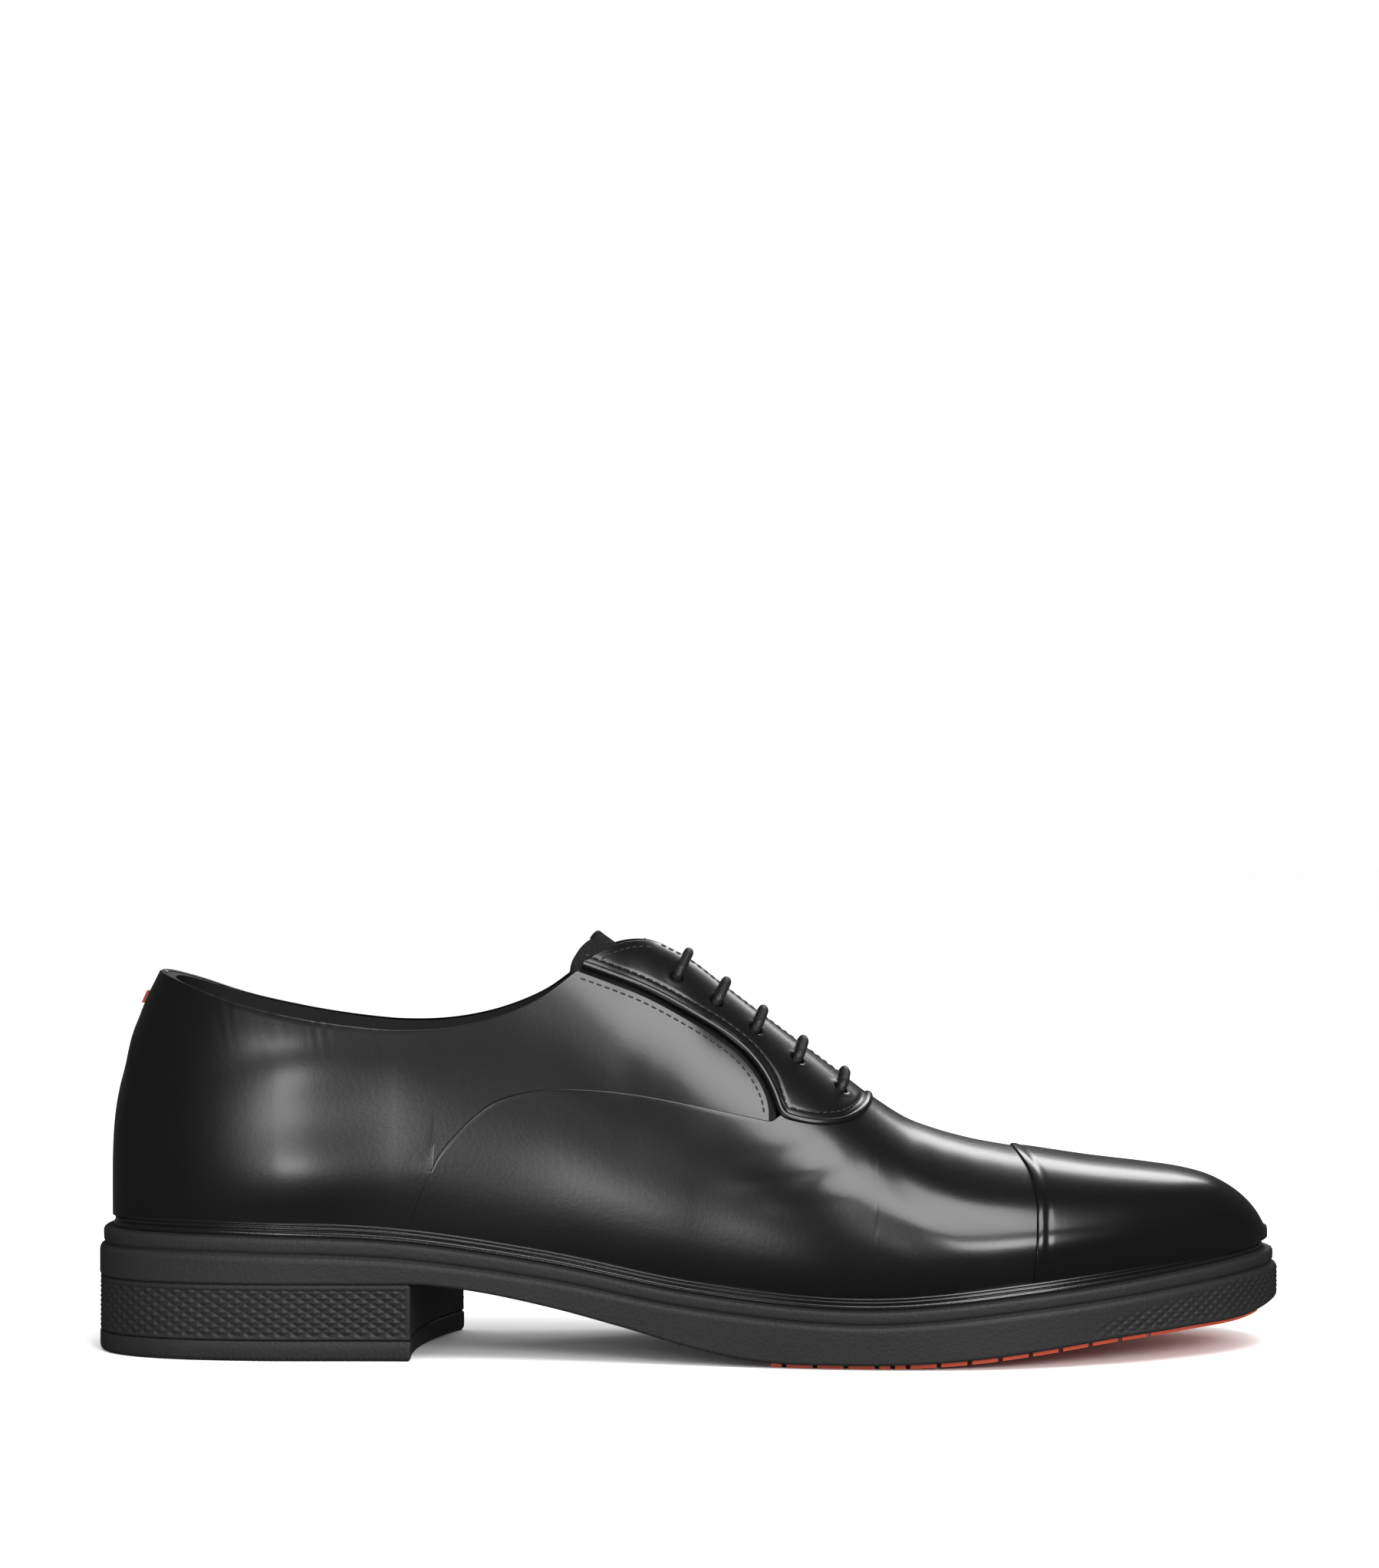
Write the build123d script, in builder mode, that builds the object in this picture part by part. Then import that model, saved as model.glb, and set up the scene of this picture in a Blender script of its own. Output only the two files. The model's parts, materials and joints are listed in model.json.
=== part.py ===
from build123d import *
import os
from math import acos, cos, degrees, pi, radians, sin

import numpy as np

os.makedirs("parts", exist_ok=True)

# ---------------------------------------------------------------- overall sizes
sole_length = 305.0        # heel edge to toe edge of the outsole
ball_width = 101.0         # widest part of the outsole
instep_height = 105.0      # highest point of the facings above the floor
heel_height = 19.2         # floor to the underside of the outsole at the heel
sole_margin = 4.0          # outsole edge standing out past the upper
lip_margin = 0.9           # outsole lip drawn in from the sole's edge
half_length = sole_length / 2
upper_half = half_length - sole_margin + lip_margin

# the curves below are drawn at these sizes and stretched to the ones above
drawn_length = 305.0
drawn_width = 101.0
drawn_instep = 105.0
drawn_heel = 19.2
long_scale = sole_length / drawn_length
wide_scale = ball_width / drawn_width
rise_scale = instep_height / drawn_instep

# ---------------------------------------------------------------- thicknesses
leather = 1.4              # outer leather
stiffener = 1.2            # linings, backings, toe puff and heel counter
inner_lining = 0.8         # heel grip and toe lining
cap_proud = 0.6            # toe cap standing above the vamp
piping_proud = 0.7         # piping standing above the facing
lace_d = 2.4
lace_r = lace_d / 2
lace_gap = 0.1             # air between lace and leather
eyelet_flange = 0.7
tongue_leather = 1.6
tongue_backing = 0.8
board_thick = 2.2
footbed_thick = 2.0
sock_thick = 1.0
rand_height = 3.0
lip_height = 3.7
top_piece_height = 5.15
tread_depth = 1.06
tread_seat = 1.0
tread_flat = 0.12          # depth worn off the lowest lugs, so that they stand on a flat face
shank_thick = 1.2
shank_width = 14.0
fit_gap = 0.05
min_rise = 2.0             # smallest section the nested loaves keep
min_reach = 5.0
over = 90.0                # reach of cutting tools past the shoe
tool_low = -8.0            # lower and upper reach of cutting bands
tool_high = 70.0

depth_stiff = leather + stiffener
depth_inner = depth_stiff + inner_lining
slope_allowance = 1.25     # the instep slopes, so depths below it are taken longer
depth_tongue = slope_allowance * (depth_stiff + eyelet_flange + lace_d + 2 * lace_gap)
depth_tongue_back = depth_tongue + tongue_leather
depth_tongue_in = depth_tongue_back + tongue_backing


def scaled(points, x_scale=long_scale, z_scale=rise_scale):
    """Side-view points stretched with the shoe's length and height."""
    return [(x * x_scale, z * z_scale) for x, z in points]


def angle_of(x, half):
    """Station angle of a lengthwise position: 0 at the heel, 180 at the toe."""
    return degrees(acos(max(-1.0, min(1.0, -x / half))))


def smooth(value, keys, heights):
    """Cubic Hermite curve through the key heights."""
    keys = np.asarray(keys, dtype=float)
    heights = np.asarray(heights, dtype=float)
    slopes = np.gradient(heights, keys)
    i = int(np.clip(np.searchsorted(keys, value) - 1, 0, len(keys) - 2))
    span = keys[i + 1] - keys[i]
    t = float(np.clip((value - keys[i]) / span, 0.0, 1.0))
    return float(
        (2 * t**3 - 3 * t**2 + 1) * heights[i]
        + (t**3 - 2 * t**2 + t) * span * slopes[i]
        + (3 * t**2 - 2 * t**3) * heights[i + 1]
        + (t**3 - t**2) * span * slopes[i + 1]
    )


# ---------------------------------------------------------------- plan outline
outline_angle = [0, 10, 20, 30, 45, 60, 75, 90, 105, 120, 135, 150, 160, 170, 180]
lateral_half = [0, 13.5, 22.5, 28.5, 32.8, 33.4, 35.8, 42.0, 49.2, 49.6, 40.4, 25.4, 14.4, 3.6, -8]
medial_half = [0, 13.5, 22.2, 27.8, 31.0, 29.8, 30.0, 35.2, 46.4, 50.4, 45.0, 34.6, 27.6, 19.6, 8]
ridge_shift = [0, 0, 0, 0, 0, 0, 0, 0, 0.5, 1.8, 3.4, 5.5, 6.9, 7.8, 8]


def outline_y(angle, side):
    """Outsole edge at a station angle; side is -1 lateral, +1 medial."""
    halves = lateral_half if side < 0 else medial_half
    return side * wide_scale * smooth(angle, outline_angle, halves)


def outline_points(margin):
    """Closed plan outline lying margin inside the outsole edge."""
    loop = []
    for side in (-1, 1):
        for angle in range(0, 181, 12):
            reach = (half_length - margin) * -cos(radians(angle))
            inward = margin * sin(radians(angle)) ** 0.5
            loop.append((angle * side, reach, outline_y(angle, side) - side * inward))
    lateral = [(x, y) for a, x, y in loop[:16]]
    medial = [(x, y) for a, x, y in loop[16:]]
    return lateral + medial[-2:0:-1]


# ---------------------------------------------------------------- side profiles
feather_x = [-153, -110, -75, -38, 0, 43, 86, 128, 153]
feather_z = [35.0, 34.5, 33.0, 27.8, 20.6, 17.2, 20.8, 25.4, 28.0]
tread_x = [-153, -110, -80, -68, -58, -38, -16, 2, 13, 20, 26, 32, 38, 44, 52, 62, 75, 90, 106, 125,
           145, 153]
tread_z = [19.2, 19.2, 19.2, 19.2, 18.2, 14.5, 9.0, 4.1, 2.05, 1.3, 1.08, 1.06, 1.06, 1.09, 1.3, 1.85,
           3.0, 4.8, 6.8, 8.4, 10.2, 12.7]
ridge_half = 149.3
ridge_points = [
    (-149.2, 52), (-148.3, 62), (-147.1, 68), (-145.5, 74), (-144.2, 80), (-142, 86),
    (-140, 91), (-138, 95), (-136, 99), (-128, 111), (-115, 124), (-96, 133.5), (-75, 137),
    (-51, 130.5), (-31, 119), (-22, 112.6), (-16, 108.2), (-9, 104.5), (0, 99.6), (8, 93.4),
    (24, 81.2), (40, 69.2), (48, 63.2), (56, 58.2), (64, 55.2), (72, 53.0), (80, 51.4),
    (90, 49.8), (103, 47.8), (119, 45.8), (127, 44.6), (135, 42.4), (139, 40.4), (143, 37.5),
    (146, 34.2), (147.6, 31.6), (148.6, 29.6),
]


def feather(x):
    """Height of the line where the upper meets the rand."""
    lift = (heel_height - drawn_heel) * smooth(-x, [-60 * long_scale, 70 * long_scale], [0, 1])
    return smooth(x / long_scale, feather_x, feather_z) + lift


def underside(x):
    """Height of the outsole's lower face."""
    lift = (heel_height - drawn_heel) * smooth(-x, [-20 * long_scale, 70 * long_scale], [0, 1])
    return smooth(x / long_scale, tread_x, tread_z) + lift


def ridge(x):
    """Height of the upper's centre line, closed over the foot opening."""
    keys = [angle_of(px, ridge_half) for px, pz in ridge_points]
    heights = [pz for px, pz in ridge_points]
    return rise_scale * smooth(angle_of(x / long_scale, ridge_half), keys, heights)


def upper_frame(x):
    """Ridge height, widest height, side widths, centre and fullness at x."""
    angle = angle_of(x, upper_half + 0.1)
    centre = wide_scale * smooth(angle, outline_angle, ridge_shift)
    inward = (sole_margin + 0.2) * sin(radians(angle)) ** 0.5
    widths = [abs(outline_y(angle, s) - s * inward - centre) for s in (-1, 1)]
    top = ridge(x)
    low = feather(x)
    widest = low + min(smooth(x / long_scale, [-150, -60, 0, 50, 150], [18, 15, 11, 8, 8]),
                       0.5 * (top - low))
    power = smooth(x / long_scale, [-150, -100, -40, 0, 40, 70, 150],
                   [0.8, 0.85, 1.1, 1.22, 1.12, 1.0, 0.82])
    return top, widest, widths, centre, power


def shell_point(x, y_side, height):
    """Point of the outer surface at x and height, on one side."""
    top, widest, widths, centre, power = upper_frame(x)
    rise = (height - widest) / (top - widest)
    reach = widths[0 if y_side < 0 else 1] * (1 - rise**2) ** (power / 2)
    return Vector(x, centre + y_side * reach, height)


def shell_height(x, y):
    """Height of the outer surface over a plan position."""
    top, widest, widths, centre, power = upper_frame(x)
    share = abs(y - centre) / widths[0 if y < centre else 1]
    return widest + (top - widest) * max(0.0, 1 - share ** (2 / power)) ** 0.5


def shell_normal(x, y):
    """Outward normal of the outer surface over a plan position."""
    step = 0.5
    dx = (shell_height(x + step, y) - shell_height(x - step, y)) / (2 * step)
    dy = (shell_height(x, y + step) - shell_height(x, y - step)) / (2 * step)
    return Vector(-dx, -dy, 1).normalized()


station_angles = [4, 7, 11, 15, 19, 23.5, 29, 36, 45, 55, 65, 74, 82, 88, 94, 100, 106,
                  111, 116, 122, 129, 137, 145, 152, 158, 163, 167.5, 171.5, 174.5]
arch_angles = np.radians([0, 12, 25, 39, 53, 67, 79])


def spline_basis(values, knots, count):
    """Cubic B-spline basis values, one row per parameter value."""
    values = np.asarray(values, dtype=float)
    table = np.array([(values >= knots[i]) & (values < knots[i + 1])
                      for i in range(len(knots) - 1)], dtype=float)
    table[count - 1, values >= knots[-1]] = 1.0
    for degree in (1, 2, 3):
        for i in range(len(knots) - 1 - degree):
            left = knots[i + degree] - knots[i]
            right = knots[i + degree + 1] - knots[i + 1]
            rising = (values - knots[i]) / left * table[i] if left > 0 else 0
            falling = (knots[i + degree + 1] - values) / right * table[i + 1] if right > 0 else 0
            table[i] = rising + falling
    return table[:count].T


def section_points(angle, inset, below):
    """Points of one cross-section, from the lateral bottom over the ridge."""
    x = -upper_half * cos(radians(angle))
    top, widest, widths, centre, power = upper_frame(x)
    low = feather(x)
    halves = []
    for side, width in zip((-1, 1), widths):
        reach = width - inset * sin(radians(angle)) ** 0.5
        across = np.concatenate([[0.955, 0.972], np.cos(arch_angles) ** power])
        height = np.concatenate([[low - below, low],
                                 widest + (top - inset - widest) * np.sin(arch_angles)])
        halves.append(np.column_stack([centre + side * reach * across, height]))
    return np.vstack([halves[0], [[centre, top - inset]], halves[1][::-1]])


def last_body(inset, below, x_from=-half_length, x_to=half_length):
    """Closed loaf of the upper's shape, its skin moved in by inset."""
    chosen = []
    for angle in station_angles:
        x = -upper_half * cos(radians(angle))
        top, widest, widths, centre, power = upper_frame(x)
        roomy = inset <= 0 or (top - inset - widest > min_rise and min(widths) - inset > min_reach)
        if x_from <= x <= x_to and roomy:
            chosen.append((x, section_points(angle, inset, below)))
    chords = np.array([np.linalg.norm(np.diff(p, axis=0), axis=1) ** 0.5 for x, p in chosen])
    chords = (chords / chords.sum(axis=1)[:, None]).mean(axis=0)
    params = np.concatenate([[0], np.cumsum(chords)])
    params /= params[-1]
    count = len(params)
    inner_knots = [params[j:j + 3].mean() for j in range(1, count - 3)]
    knots = [0.0] * 4 + inner_knots + [1.0] * 4
    to_cage = np.linalg.inv(spline_basis(params, knots, count))
    with BuildPart() as loaf:
        for x, points in chosen:
            with BuildSketch(Plane.YZ.offset(x * (1 - inset / upper_half))):
                with BuildLine():
                    arch = BSpline([tuple(p) for p in to_cage @ points], knots, 3)
                    Line(arch @ 1, arch @ 0)
                make_face()
        loft()
    return loaf.part


# ---------------------------------------------------------------- cutting tools
def side_tool(*curves):
    """Solid whose side view is bounded by the given curves, joined end to end."""
    with BuildPart() as tool:
        with BuildSketch(Plane.XZ):
            with BuildLine():
                for i, points in enumerate(curves):
                    if len(points) > 2:
                        Spline(*points)
                    else:
                        Line(*points)
                    after = curves[(i + 1) % len(curves)][0]
                    if Vector(*points[-1]).sub(Vector(*after)).length > 1e-6:
                        Line(points[-1], after)
            make_face()
        extrude(amount=over, both=True)
    return tool.part


def level(height):
    """A constant height, for bands with a flat face."""
    return lambda x: height


def band_tool(lower, upper, x_from=-half_length - 5, x_to=half_length + 5):
    """Solid between two height functions over a stretch of the shoe's length."""
    xs = np.linspace(x_from, x_to, 26)
    low_curve = [(x, lower(x)) for x in xs]
    high_curve = [(x, upper(x)) for x in xs[::-1]]
    return side_tool(low_curve, high_curve)


def plan_slab(margin, low, high):
    """Vertical slab with the sole's plan outline, margin inside its edge."""
    with BuildPart() as slab:
        with BuildSketch(Plane.XY.offset(low)):
            with BuildLine():
                Spline(*outline_points(margin), periodic=True)
            make_face()
        extrude(amount=high - low)
    return slab.part


def keep_side(side, gap=0.0):
    """Half space on the lateral (-1) or medial (+1) side of the centre plane."""
    with BuildPart() as half_space:
        with Locations((0, side * (gap + over), instep_height / 2)):
            Box(4 * half_length, 2 * over, 4 * instep_height)
    return half_space.part


def x_slab(x_from, x_to):
    """Slab across the shoe between two lengthwise positions."""
    with BuildPart() as slab:
        with Locations(((x_from + x_to) / 2, 0, instep_height / 2)):
            Box(x_to - x_from, 2 * over, 4 * instep_height)
    return slab.part


topline = scaled([(-145, 101), (-136, 96.6), (-128, 93.6), (-119, 90.3), (-103, 86.3), (-88, 83.8),
                  (-74, 82.6), (-62, 83.2), (-48, 86.4), (-38, 90.8), (-28.9, 97.4)])
quarter_front = scaled([(-28.9, 97.4), (-24.1, 95.7), (-11, 90.5), (-2.4, 86), (6.4, 80.7),
                        (12.8, 75.7), (16.7, 70.8), (19, 66), (20, 60)])
vamp_seam = scaled([(20, 60), (0, 64.1), (-14, 66.6), (-27, 67.8), (-36.4, 67.8), (-43.7, 66.6),
                    (-49.7, 64.5), (-54.3, 61.2), (-59.3, 56.4), (-63.5, 51.2), (-66, 45.9),
                    (-69.3, 38), (-71.6, 26), (-72, 5)])
cap_seam = scaled([(85.2, 5), (85.3, 18), (86, 26.7), (86.5, 34.1), (86.8, 40.5), (86, 46.9),
                   (82.8, 51.8), (78, 57)])
piping_top = scaled([(-28.3, 98.8), (-22.5, 102.6), (-16, 105.2), (-10, 106.8), (-4, 109)])
piping_toe = scaled([(50.5, 69), (47.8, 65.6), (45.1, 62.2), (40.2, 59.7), (35.3, 59), (29, 59.5),
                     (22.4, 61.2)])
piping_rear = scaled([(22.4, 61.2), (20.6, 66.6), (18, 71.6), (13.8, 76.7), (7.2, 81.9),
                      (-1.7, 87.2), (-10.4, 91.8), (-23.5, 97.1), (-28.3, 98.8)])
piping_width = 1.8
gore_reach = 4.5
sky = 170.0 * rise_scale
toe_far = half_length + 20
heel_far = -half_length - 20

quarter_zone = side_tool(topline, quarter_front, vamp_seam,
                         [(vamp_seam[-1][0], -5), (heel_far, -5)],
                         [(heel_far, topline[0][1]), topline[0]])
vamp_zone = side_tool(vamp_seam[::-1], [vamp_seam[0], piping_rear[0]],
                      [piping_rear[0], (40 * long_scale, 75 * rise_scale)],
                      [(60 * long_scale, sky), (toe_far, sky)],
                      [(toe_far, -5), (vamp_seam[-1][0], -5)])
mouth_zone = side_tool(topline, [topline[-1], (topline[-1][0], sky)],
                       [(heel_far, sky), (heel_far, topline[0][1])])
cap_zone = side_tool(cap_seam, [(cap_seam[-1][0], sky), (toe_far, sky)],
                     [(toe_far, -5), (cap_seam[0][0], -5)])


def shifted(points, amount):
    """Curve moved sideways to its left by amount."""
    pts = np.asarray(points, dtype=float)
    along = np.gradient(pts, axis=0)
    along /= np.linalg.norm(along, axis=1)[:, None]
    return pts + amount * np.column_stack([-along[:, 1], along[:, 0]])


def grown(chain, amount):
    """Curves joined end to end, all moved to their left and mitred at the corners."""
    runs = [np.asarray(points, dtype=float) for points in chain]
    corners = []
    for before, after in zip(runs, runs[1:]):
        a = (before[-1] - before[-2]) / np.linalg.norm(before[-1] - before[-2])
        b = (after[1] - after[0]) / np.linalg.norm(after[1] - after[0])
        a_left = np.array([-a[1], a[0]])
        b_left = np.array([-b[1], b[0]])
        corners.append(before[-1] + amount * (a_left + b_left) / (1 + a_left @ b_left))
    joined = []
    for i, run in enumerate(runs):
        moved = shifted(run, amount)
        keep = np.ones(len(run), dtype=bool)
        if i > 0:
            keep &= np.linalg.norm(run - run[0], axis=1) > np.linalg.norm(corners[i - 1] - run[0]) + 1
        if i < len(runs) - 1:
            keep &= np.linalg.norm(run - run[-1], axis=1) > np.linalg.norm(corners[i] - run[-1]) + 1
        points = ([corners[i - 1]] if i > 0 else []) + list(moved[keep])
        points += [corners[i]] if i < len(runs) - 1 else []
        joined.append([(float(x), float(z)) for x, z in points])
    return joined


def facing_tool(grow):
    """The facing's side view, grown outwards by grow or shrunk if negative."""
    toe_run, rear_run, crest_run = grown([piping_toe, piping_rear, piping_top], grow)
    return side_tool(crest_run, [(10 * long_scale, sky), (70 * long_scale, sky)], toe_run, rear_run)


piping_zone = facing_tool(0)
facing_zone = facing_tool(-piping_width)
facing_back_zone = facing_tool(-piping_width - 1.6)
gore_zone = facing_tool(gore_reach)
below_feather = band_tool(level(tool_low), feather)
lateral = keep_side(-1)
medial = keep_side(1)

# ---------------------------------------------------------------- nested loaves
above = {
    "piping": last_body(-piping_proud, 4.0) - below_feather,
    "cap": last_body(-cap_proud, 4.0) - below_feather,
    "skin": last_body(0.0, 4.0) - below_feather,
    "leather": last_body(leather, 4.3) - below_feather,
    "stiff": last_body(depth_stiff, 4.6) - below_feather,
    "lining": last_body(depth_inner, 4.9) - below_feather,
}
outer_layer = above["skin"] - above["leather"]
stiff_layer = above["leather"] - above["stiff"]
inner_layer = above["stiff"] - above["lining"]


def finish(shape, name):
    """Label one piece, group its solids and write it out."""
    solids = [s for s in shape.solids() if s.volume > 0.5]
    piece = solids[0] if len(solids) == 1 else Compound(solids)
    piece.label = name
    export_step(piece, f"parts/{name}.step")
    box = piece.bounding_box()
    print(f"{name:24s} solids {len(solids):3d} volume {sum(s.volume for s in solids):10.1f}"
          f"  x {box.min.X:7.1f} {box.max.X:7.1f} y {box.min.Y:6.1f} {box.max.Y:6.1f}"
          f" z {box.min.Z:6.1f} {box.max.Z:6.1f}")
    return piece


# ---------------------------------------------------------------- upper, outside
toe_cap = finish((above["cap"] - above["leather"]) & cap_zone, "toe_cap")
vamp = finish((outer_layer & vamp_zone) - piping_zone - cap_zone, "vamp")
quarters = (outer_layer & quarter_zone) - vamp_zone
quarter_lateral = finish(quarters & lateral, "quarter_lateral")
quarter_medial = finish(quarters & medial, "quarter_medial")

# ---------------------------------------------------------------- upper, linings
counter_zone = side_tool(scaled([(-93, 20), (-95, 48), (-102, 66), (-115, 76), (-128, 80), (-145, 82),
                                 (-165, 82)]), [(heel_far, 80 * rise_scale), (heel_far, 10)])
grip_zone = side_tool(scaled([(-112, 15), (-114, 50), (-119, 75), (-124, 90), (-127, 104)]),
                      [(-127 * long_scale, sky), (heel_far, sky)], [(heel_far, 0), (-112 * long_scale, 0)])
gore_ends = side_tool([(21.5 * long_scale, 20), (21.5 * long_scale, sky)],
                      [(toe_far, sky), (toe_far, 20)])
gore_roof = side_tool(scaled([(-60, 98.4), (-28.0, 98.4)]), scaled([(-28.0, 98.4), (-12, 105.0)]),
                      [(-12 * long_scale, sky), (-60 * long_scale, sky)])
gore_cut = gore_zone - gore_ends
toe_puff = finish(stiff_layer & cap_zone, "toe_puff")
heel_counter = finish(stiff_layer & counter_zone, "heel_counter")
vamp_backing = finish((stiff_layer & vamp_zone) - cap_zone - facing_back_zone - gore_cut,
                      "vamp_backing")
quarter_linings = (stiff_layer & quarter_zone) - vamp_zone - counter_zone - gore_cut
quarter_lining_lateral = finish(quarter_linings & lateral, "quarter_lining_lateral")
quarter_lining_medial = finish(quarter_linings & medial, "quarter_lining_medial")
vamp_lining = finish((inner_layer & vamp_zone) - gore_cut - piping_zone, "vamp_lining")
heel_lining = finish((inner_layer & quarter_zone) & grip_zone, "heel_lining")

tab_zone = side_tool(scaled([(-160, 88.5), (-130, 88.5)]), scaled([(-130, 91.6), (-160, 91.6)]))
with BuildPart() as tab_width:
    with Locations((-half_length + 10, 0, 90 * rise_scale)):
        Box(40, 3.2, 40)
back_tab = finish((above["piping"] - above["skin"]) & tab_zone & tab_width.part, "back_tab")

# ---------------------------------------------------------------- facings, eyelets and lace
eyelet_hole_r = 1.65       # hole in the leather
eyelet_bore_r = 1.7
eyelet_barrel_r = 2.2
eyelet_flange_r = 3.0
eyelet_relief = 0.25
centre_gap = 1.0           # half the slit between the facings
eyelet_rows = scaled([(-3.5, 95.7), (6.6, 89.2), (16.6, 82.3), (27.2, 74.7), (38.4, 67.2)])

piping_roof = side_tool(scaled([(-60, 99.4), (-28.0, 99.4)]), scaled([(-28.0, 99.4), (-2, 110)]),
                        [(-2 * long_scale, sky), (-60 * long_scale, sky)])
piping = (above["piping"] - above["leather"]) & piping_zone
facing_piping = finish(piping - facing_zone - piping_roof, "facing_piping")


def eyelet_plane(row, side):
    """Plane on the leather at an eyelet, its normal pointing out of the shoe."""
    x, z = row
    point = shell_point(x, side, z)
    return Plane(origin=point, z_dir=shell_normal(point.X, point.Y))


def rod_set(radius, top, bottom):
    """Rods through all the eyelets, between two heights over the leather."""
    with BuildPart() as rods:
        for row in eyelet_rows:
            for side in (-1, 1):
                with BuildSketch(eyelet_plane(row, side).offset(bottom)):
                    Circle(radius)
                extrude(amount=top - bottom)
    return rods.part


punched = rod_set(eyelet_hole_r, 4.0, -8.0)
barrel_room = rod_set(eyelet_barrel_r + fit_gap, 0.0, -8.0)
gores = (stiff_layer & gore_cut) - facing_back_zone - gore_roof
gores = gores - rod_set(eyelet_flange_r + 0.2, 0.0, -8.0) - mouth_zone
gore_lateral = finish(gores & lateral, "gore_lateral")
gore_medial = finish(gores & medial, "gore_medial")
facing_leather = (outer_layer & facing_zone) - punched
facing_backing = (stiff_layer & facing_back_zone) - barrel_room
for side, name in ((-1, "lateral"), (1, "medial")):
    half_space = keep_side(side, centre_gap)
    finish(facing_leather & half_space, f"facing_{name}")
    finish(facing_backing & half_space, f"facing_backing_{name}")
flange_top = -depth_stiff - eyelet_relief
flange_bottom = -depth_stiff - eyelet_flange
barrels = rod_set(eyelet_barrel_r, -leather - 0.2, flange_bottom)
flanges = rod_set(eyelet_flange_r, flange_top, flange_bottom)
blind_eyelets = finish(barrels + flanges - rod_set(eyelet_bore_r, 4.0, -8.0), "blind_eyelets")

lace_over = lace_r + lace_gap + 0.15
lace_under = -(depth_stiff + eyelet_flange + lace_gap + lace_r)
bar_reach = 4.6            # half the flat top of each bar
bar_lean = 0.5             # how far a bar leans along the shoe per rise
tail_run = 9.0
hole_bend = 2.0
crown_bend = 9.0


def bar_points(row):
    """Two corner points carrying a bar over the ridge, clear of the leather."""
    x, z = row
    rise = ridge(x) - z
    mid_x = x + bar_lean * rise
    centre = upper_frame(mid_x)[3]
    start = eyelet_plane(row, -1).offset(lace_over).origin
    lift = lace_over
    clear = -1.0
    while clear < lace_r + 0.03:
        lift += 0.05
        corner = Vector(mid_x, centre - bar_reach, ridge(mid_x) + lift)
        clear = 9.0
        for t in np.linspace(0.15, 1.0, 12):
            p = start + (corner - start) * float(t)
            normal = shell_normal(p.X, p.Y)
            clear = min(clear, (p.Z - shell_height(p.X, p.Y)) * normal.Z)
    return corner, Vector(mid_x, centre + bar_reach, corner.Z)


def lace_route():
    """Corner points and bend radii of the lace's centre line."""
    points = []
    bends = []
    side = -1
    for i, row in enumerate(eyelet_rows):
        near, far = eyelet_plane(row, side), eyelet_plane(row, -side)
        first, second = bar_points(row)
        if side > 0:
            first, second = second, first
        points += [near.offset(lace_under).origin, near.offset(lace_over).origin, first, second,
                   far.offset(lace_over).origin, far.offset(lace_under).origin]
        bends += [hole_bend, hole_bend, crown_bend, crown_bend, hole_bend, hole_bend]
        side = -side
    start_row = (eyelet_rows[0][0] - tail_run, eyelet_rows[0][1] + 0.42 * tail_run)
    tail = eyelet_plane(start_row, -1).offset(lace_under).origin
    end_row = (eyelet_rows[-1][0] + 0.7 * tail_run, eyelet_rows[-1][1] - 0.5 * tail_run)
    finish_point = eyelet_plane(end_row, side).offset(lace_under).origin
    return [tail] + points + [finish_point], bends


lace_corners, lace_bends = lace_route()
with BuildPart() as lace_cord:
    with BuildLine() as lace_path:
        FilletPolyline(*lace_corners, radius=lace_bends)
    route = lace_path.wires()[0]
    with BuildSketch(Plane(origin=route @ 0, z_dir=route % 0)):
        Circle(lace_r)
    sweep()
lace_length = route.length
print(f"lace length {lace_length:.1f}  volume {lace_cord.part.volume:.1f}"
      f"  section x length {pi * lace_r**2 * lace_length:.1f}")
lace = finish(lace_cord.part, "lace")

# ---------------------------------------------------------------- tongue
tongue_front = 60.0 * long_scale
tab_start = 49.5 * long_scale
top_break = -12.0 * long_scale
tongue_from = -60.0 * long_scale
tongue_to = 90.0 * long_scale
tongue_zone = side_tool(scaled([(-27, 87), (-28.8, 94.5), (-28.4, 100.3), (-26.3, 103.6), (-23, 105.6),
                                (-19, 106.9), (-12, 111)]),
                        [(0, sky), (tongue_front, sky)],
                        scaled([(60, 46), (22, 54)]))
tongue_outer = last_body(depth_tongue, 2.0, tongue_from, tongue_to)
tongue_middle = last_body(depth_tongue_back, 2.1, tongue_from, tongue_to)
tongue_inner = last_body(depth_tongue_in, 2.2, tongue_from, tongue_to)
front_slab = tongue_zone & x_slab(top_break, tongue_front)
top_slab = tongue_zone & x_slab(tongue_from, top_break)
tab_slab = tongue_zone & x_slab(tab_start, tongue_front)
tongue_body = (tongue_outer & front_slab) - tongue_middle
tongue_tab = (above["lining"] & tab_slab) - tongue_outer
tongue = finish(tongue_body + tongue_tab, "tongue")
tongue_lining = finish((tongue_middle & front_slab) - tongue_inner, "tongue_lining")
tongue_top = finish((tongue_outer & top_slab) - tongue_inner, "tongue_top")

# ---------------------------------------------------------------- sole unit
rand_margin = 3.9
rand_width = 9.0
breast_lateral = -70.0 * long_scale
breast_medial = -59.5 * long_scale
breast_middle = -68.5 * long_scale
flex_x = 50.0 * long_scale
slab_low = -2.0
slab_high = 60.0


def rand_bottom(x):
    """Lower edge of the rand."""
    return feather(x) - rand_height


def lip_bottom(x):
    """Lower edge of the outsole's lip."""
    return rand_bottom(x) - lip_height


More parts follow.
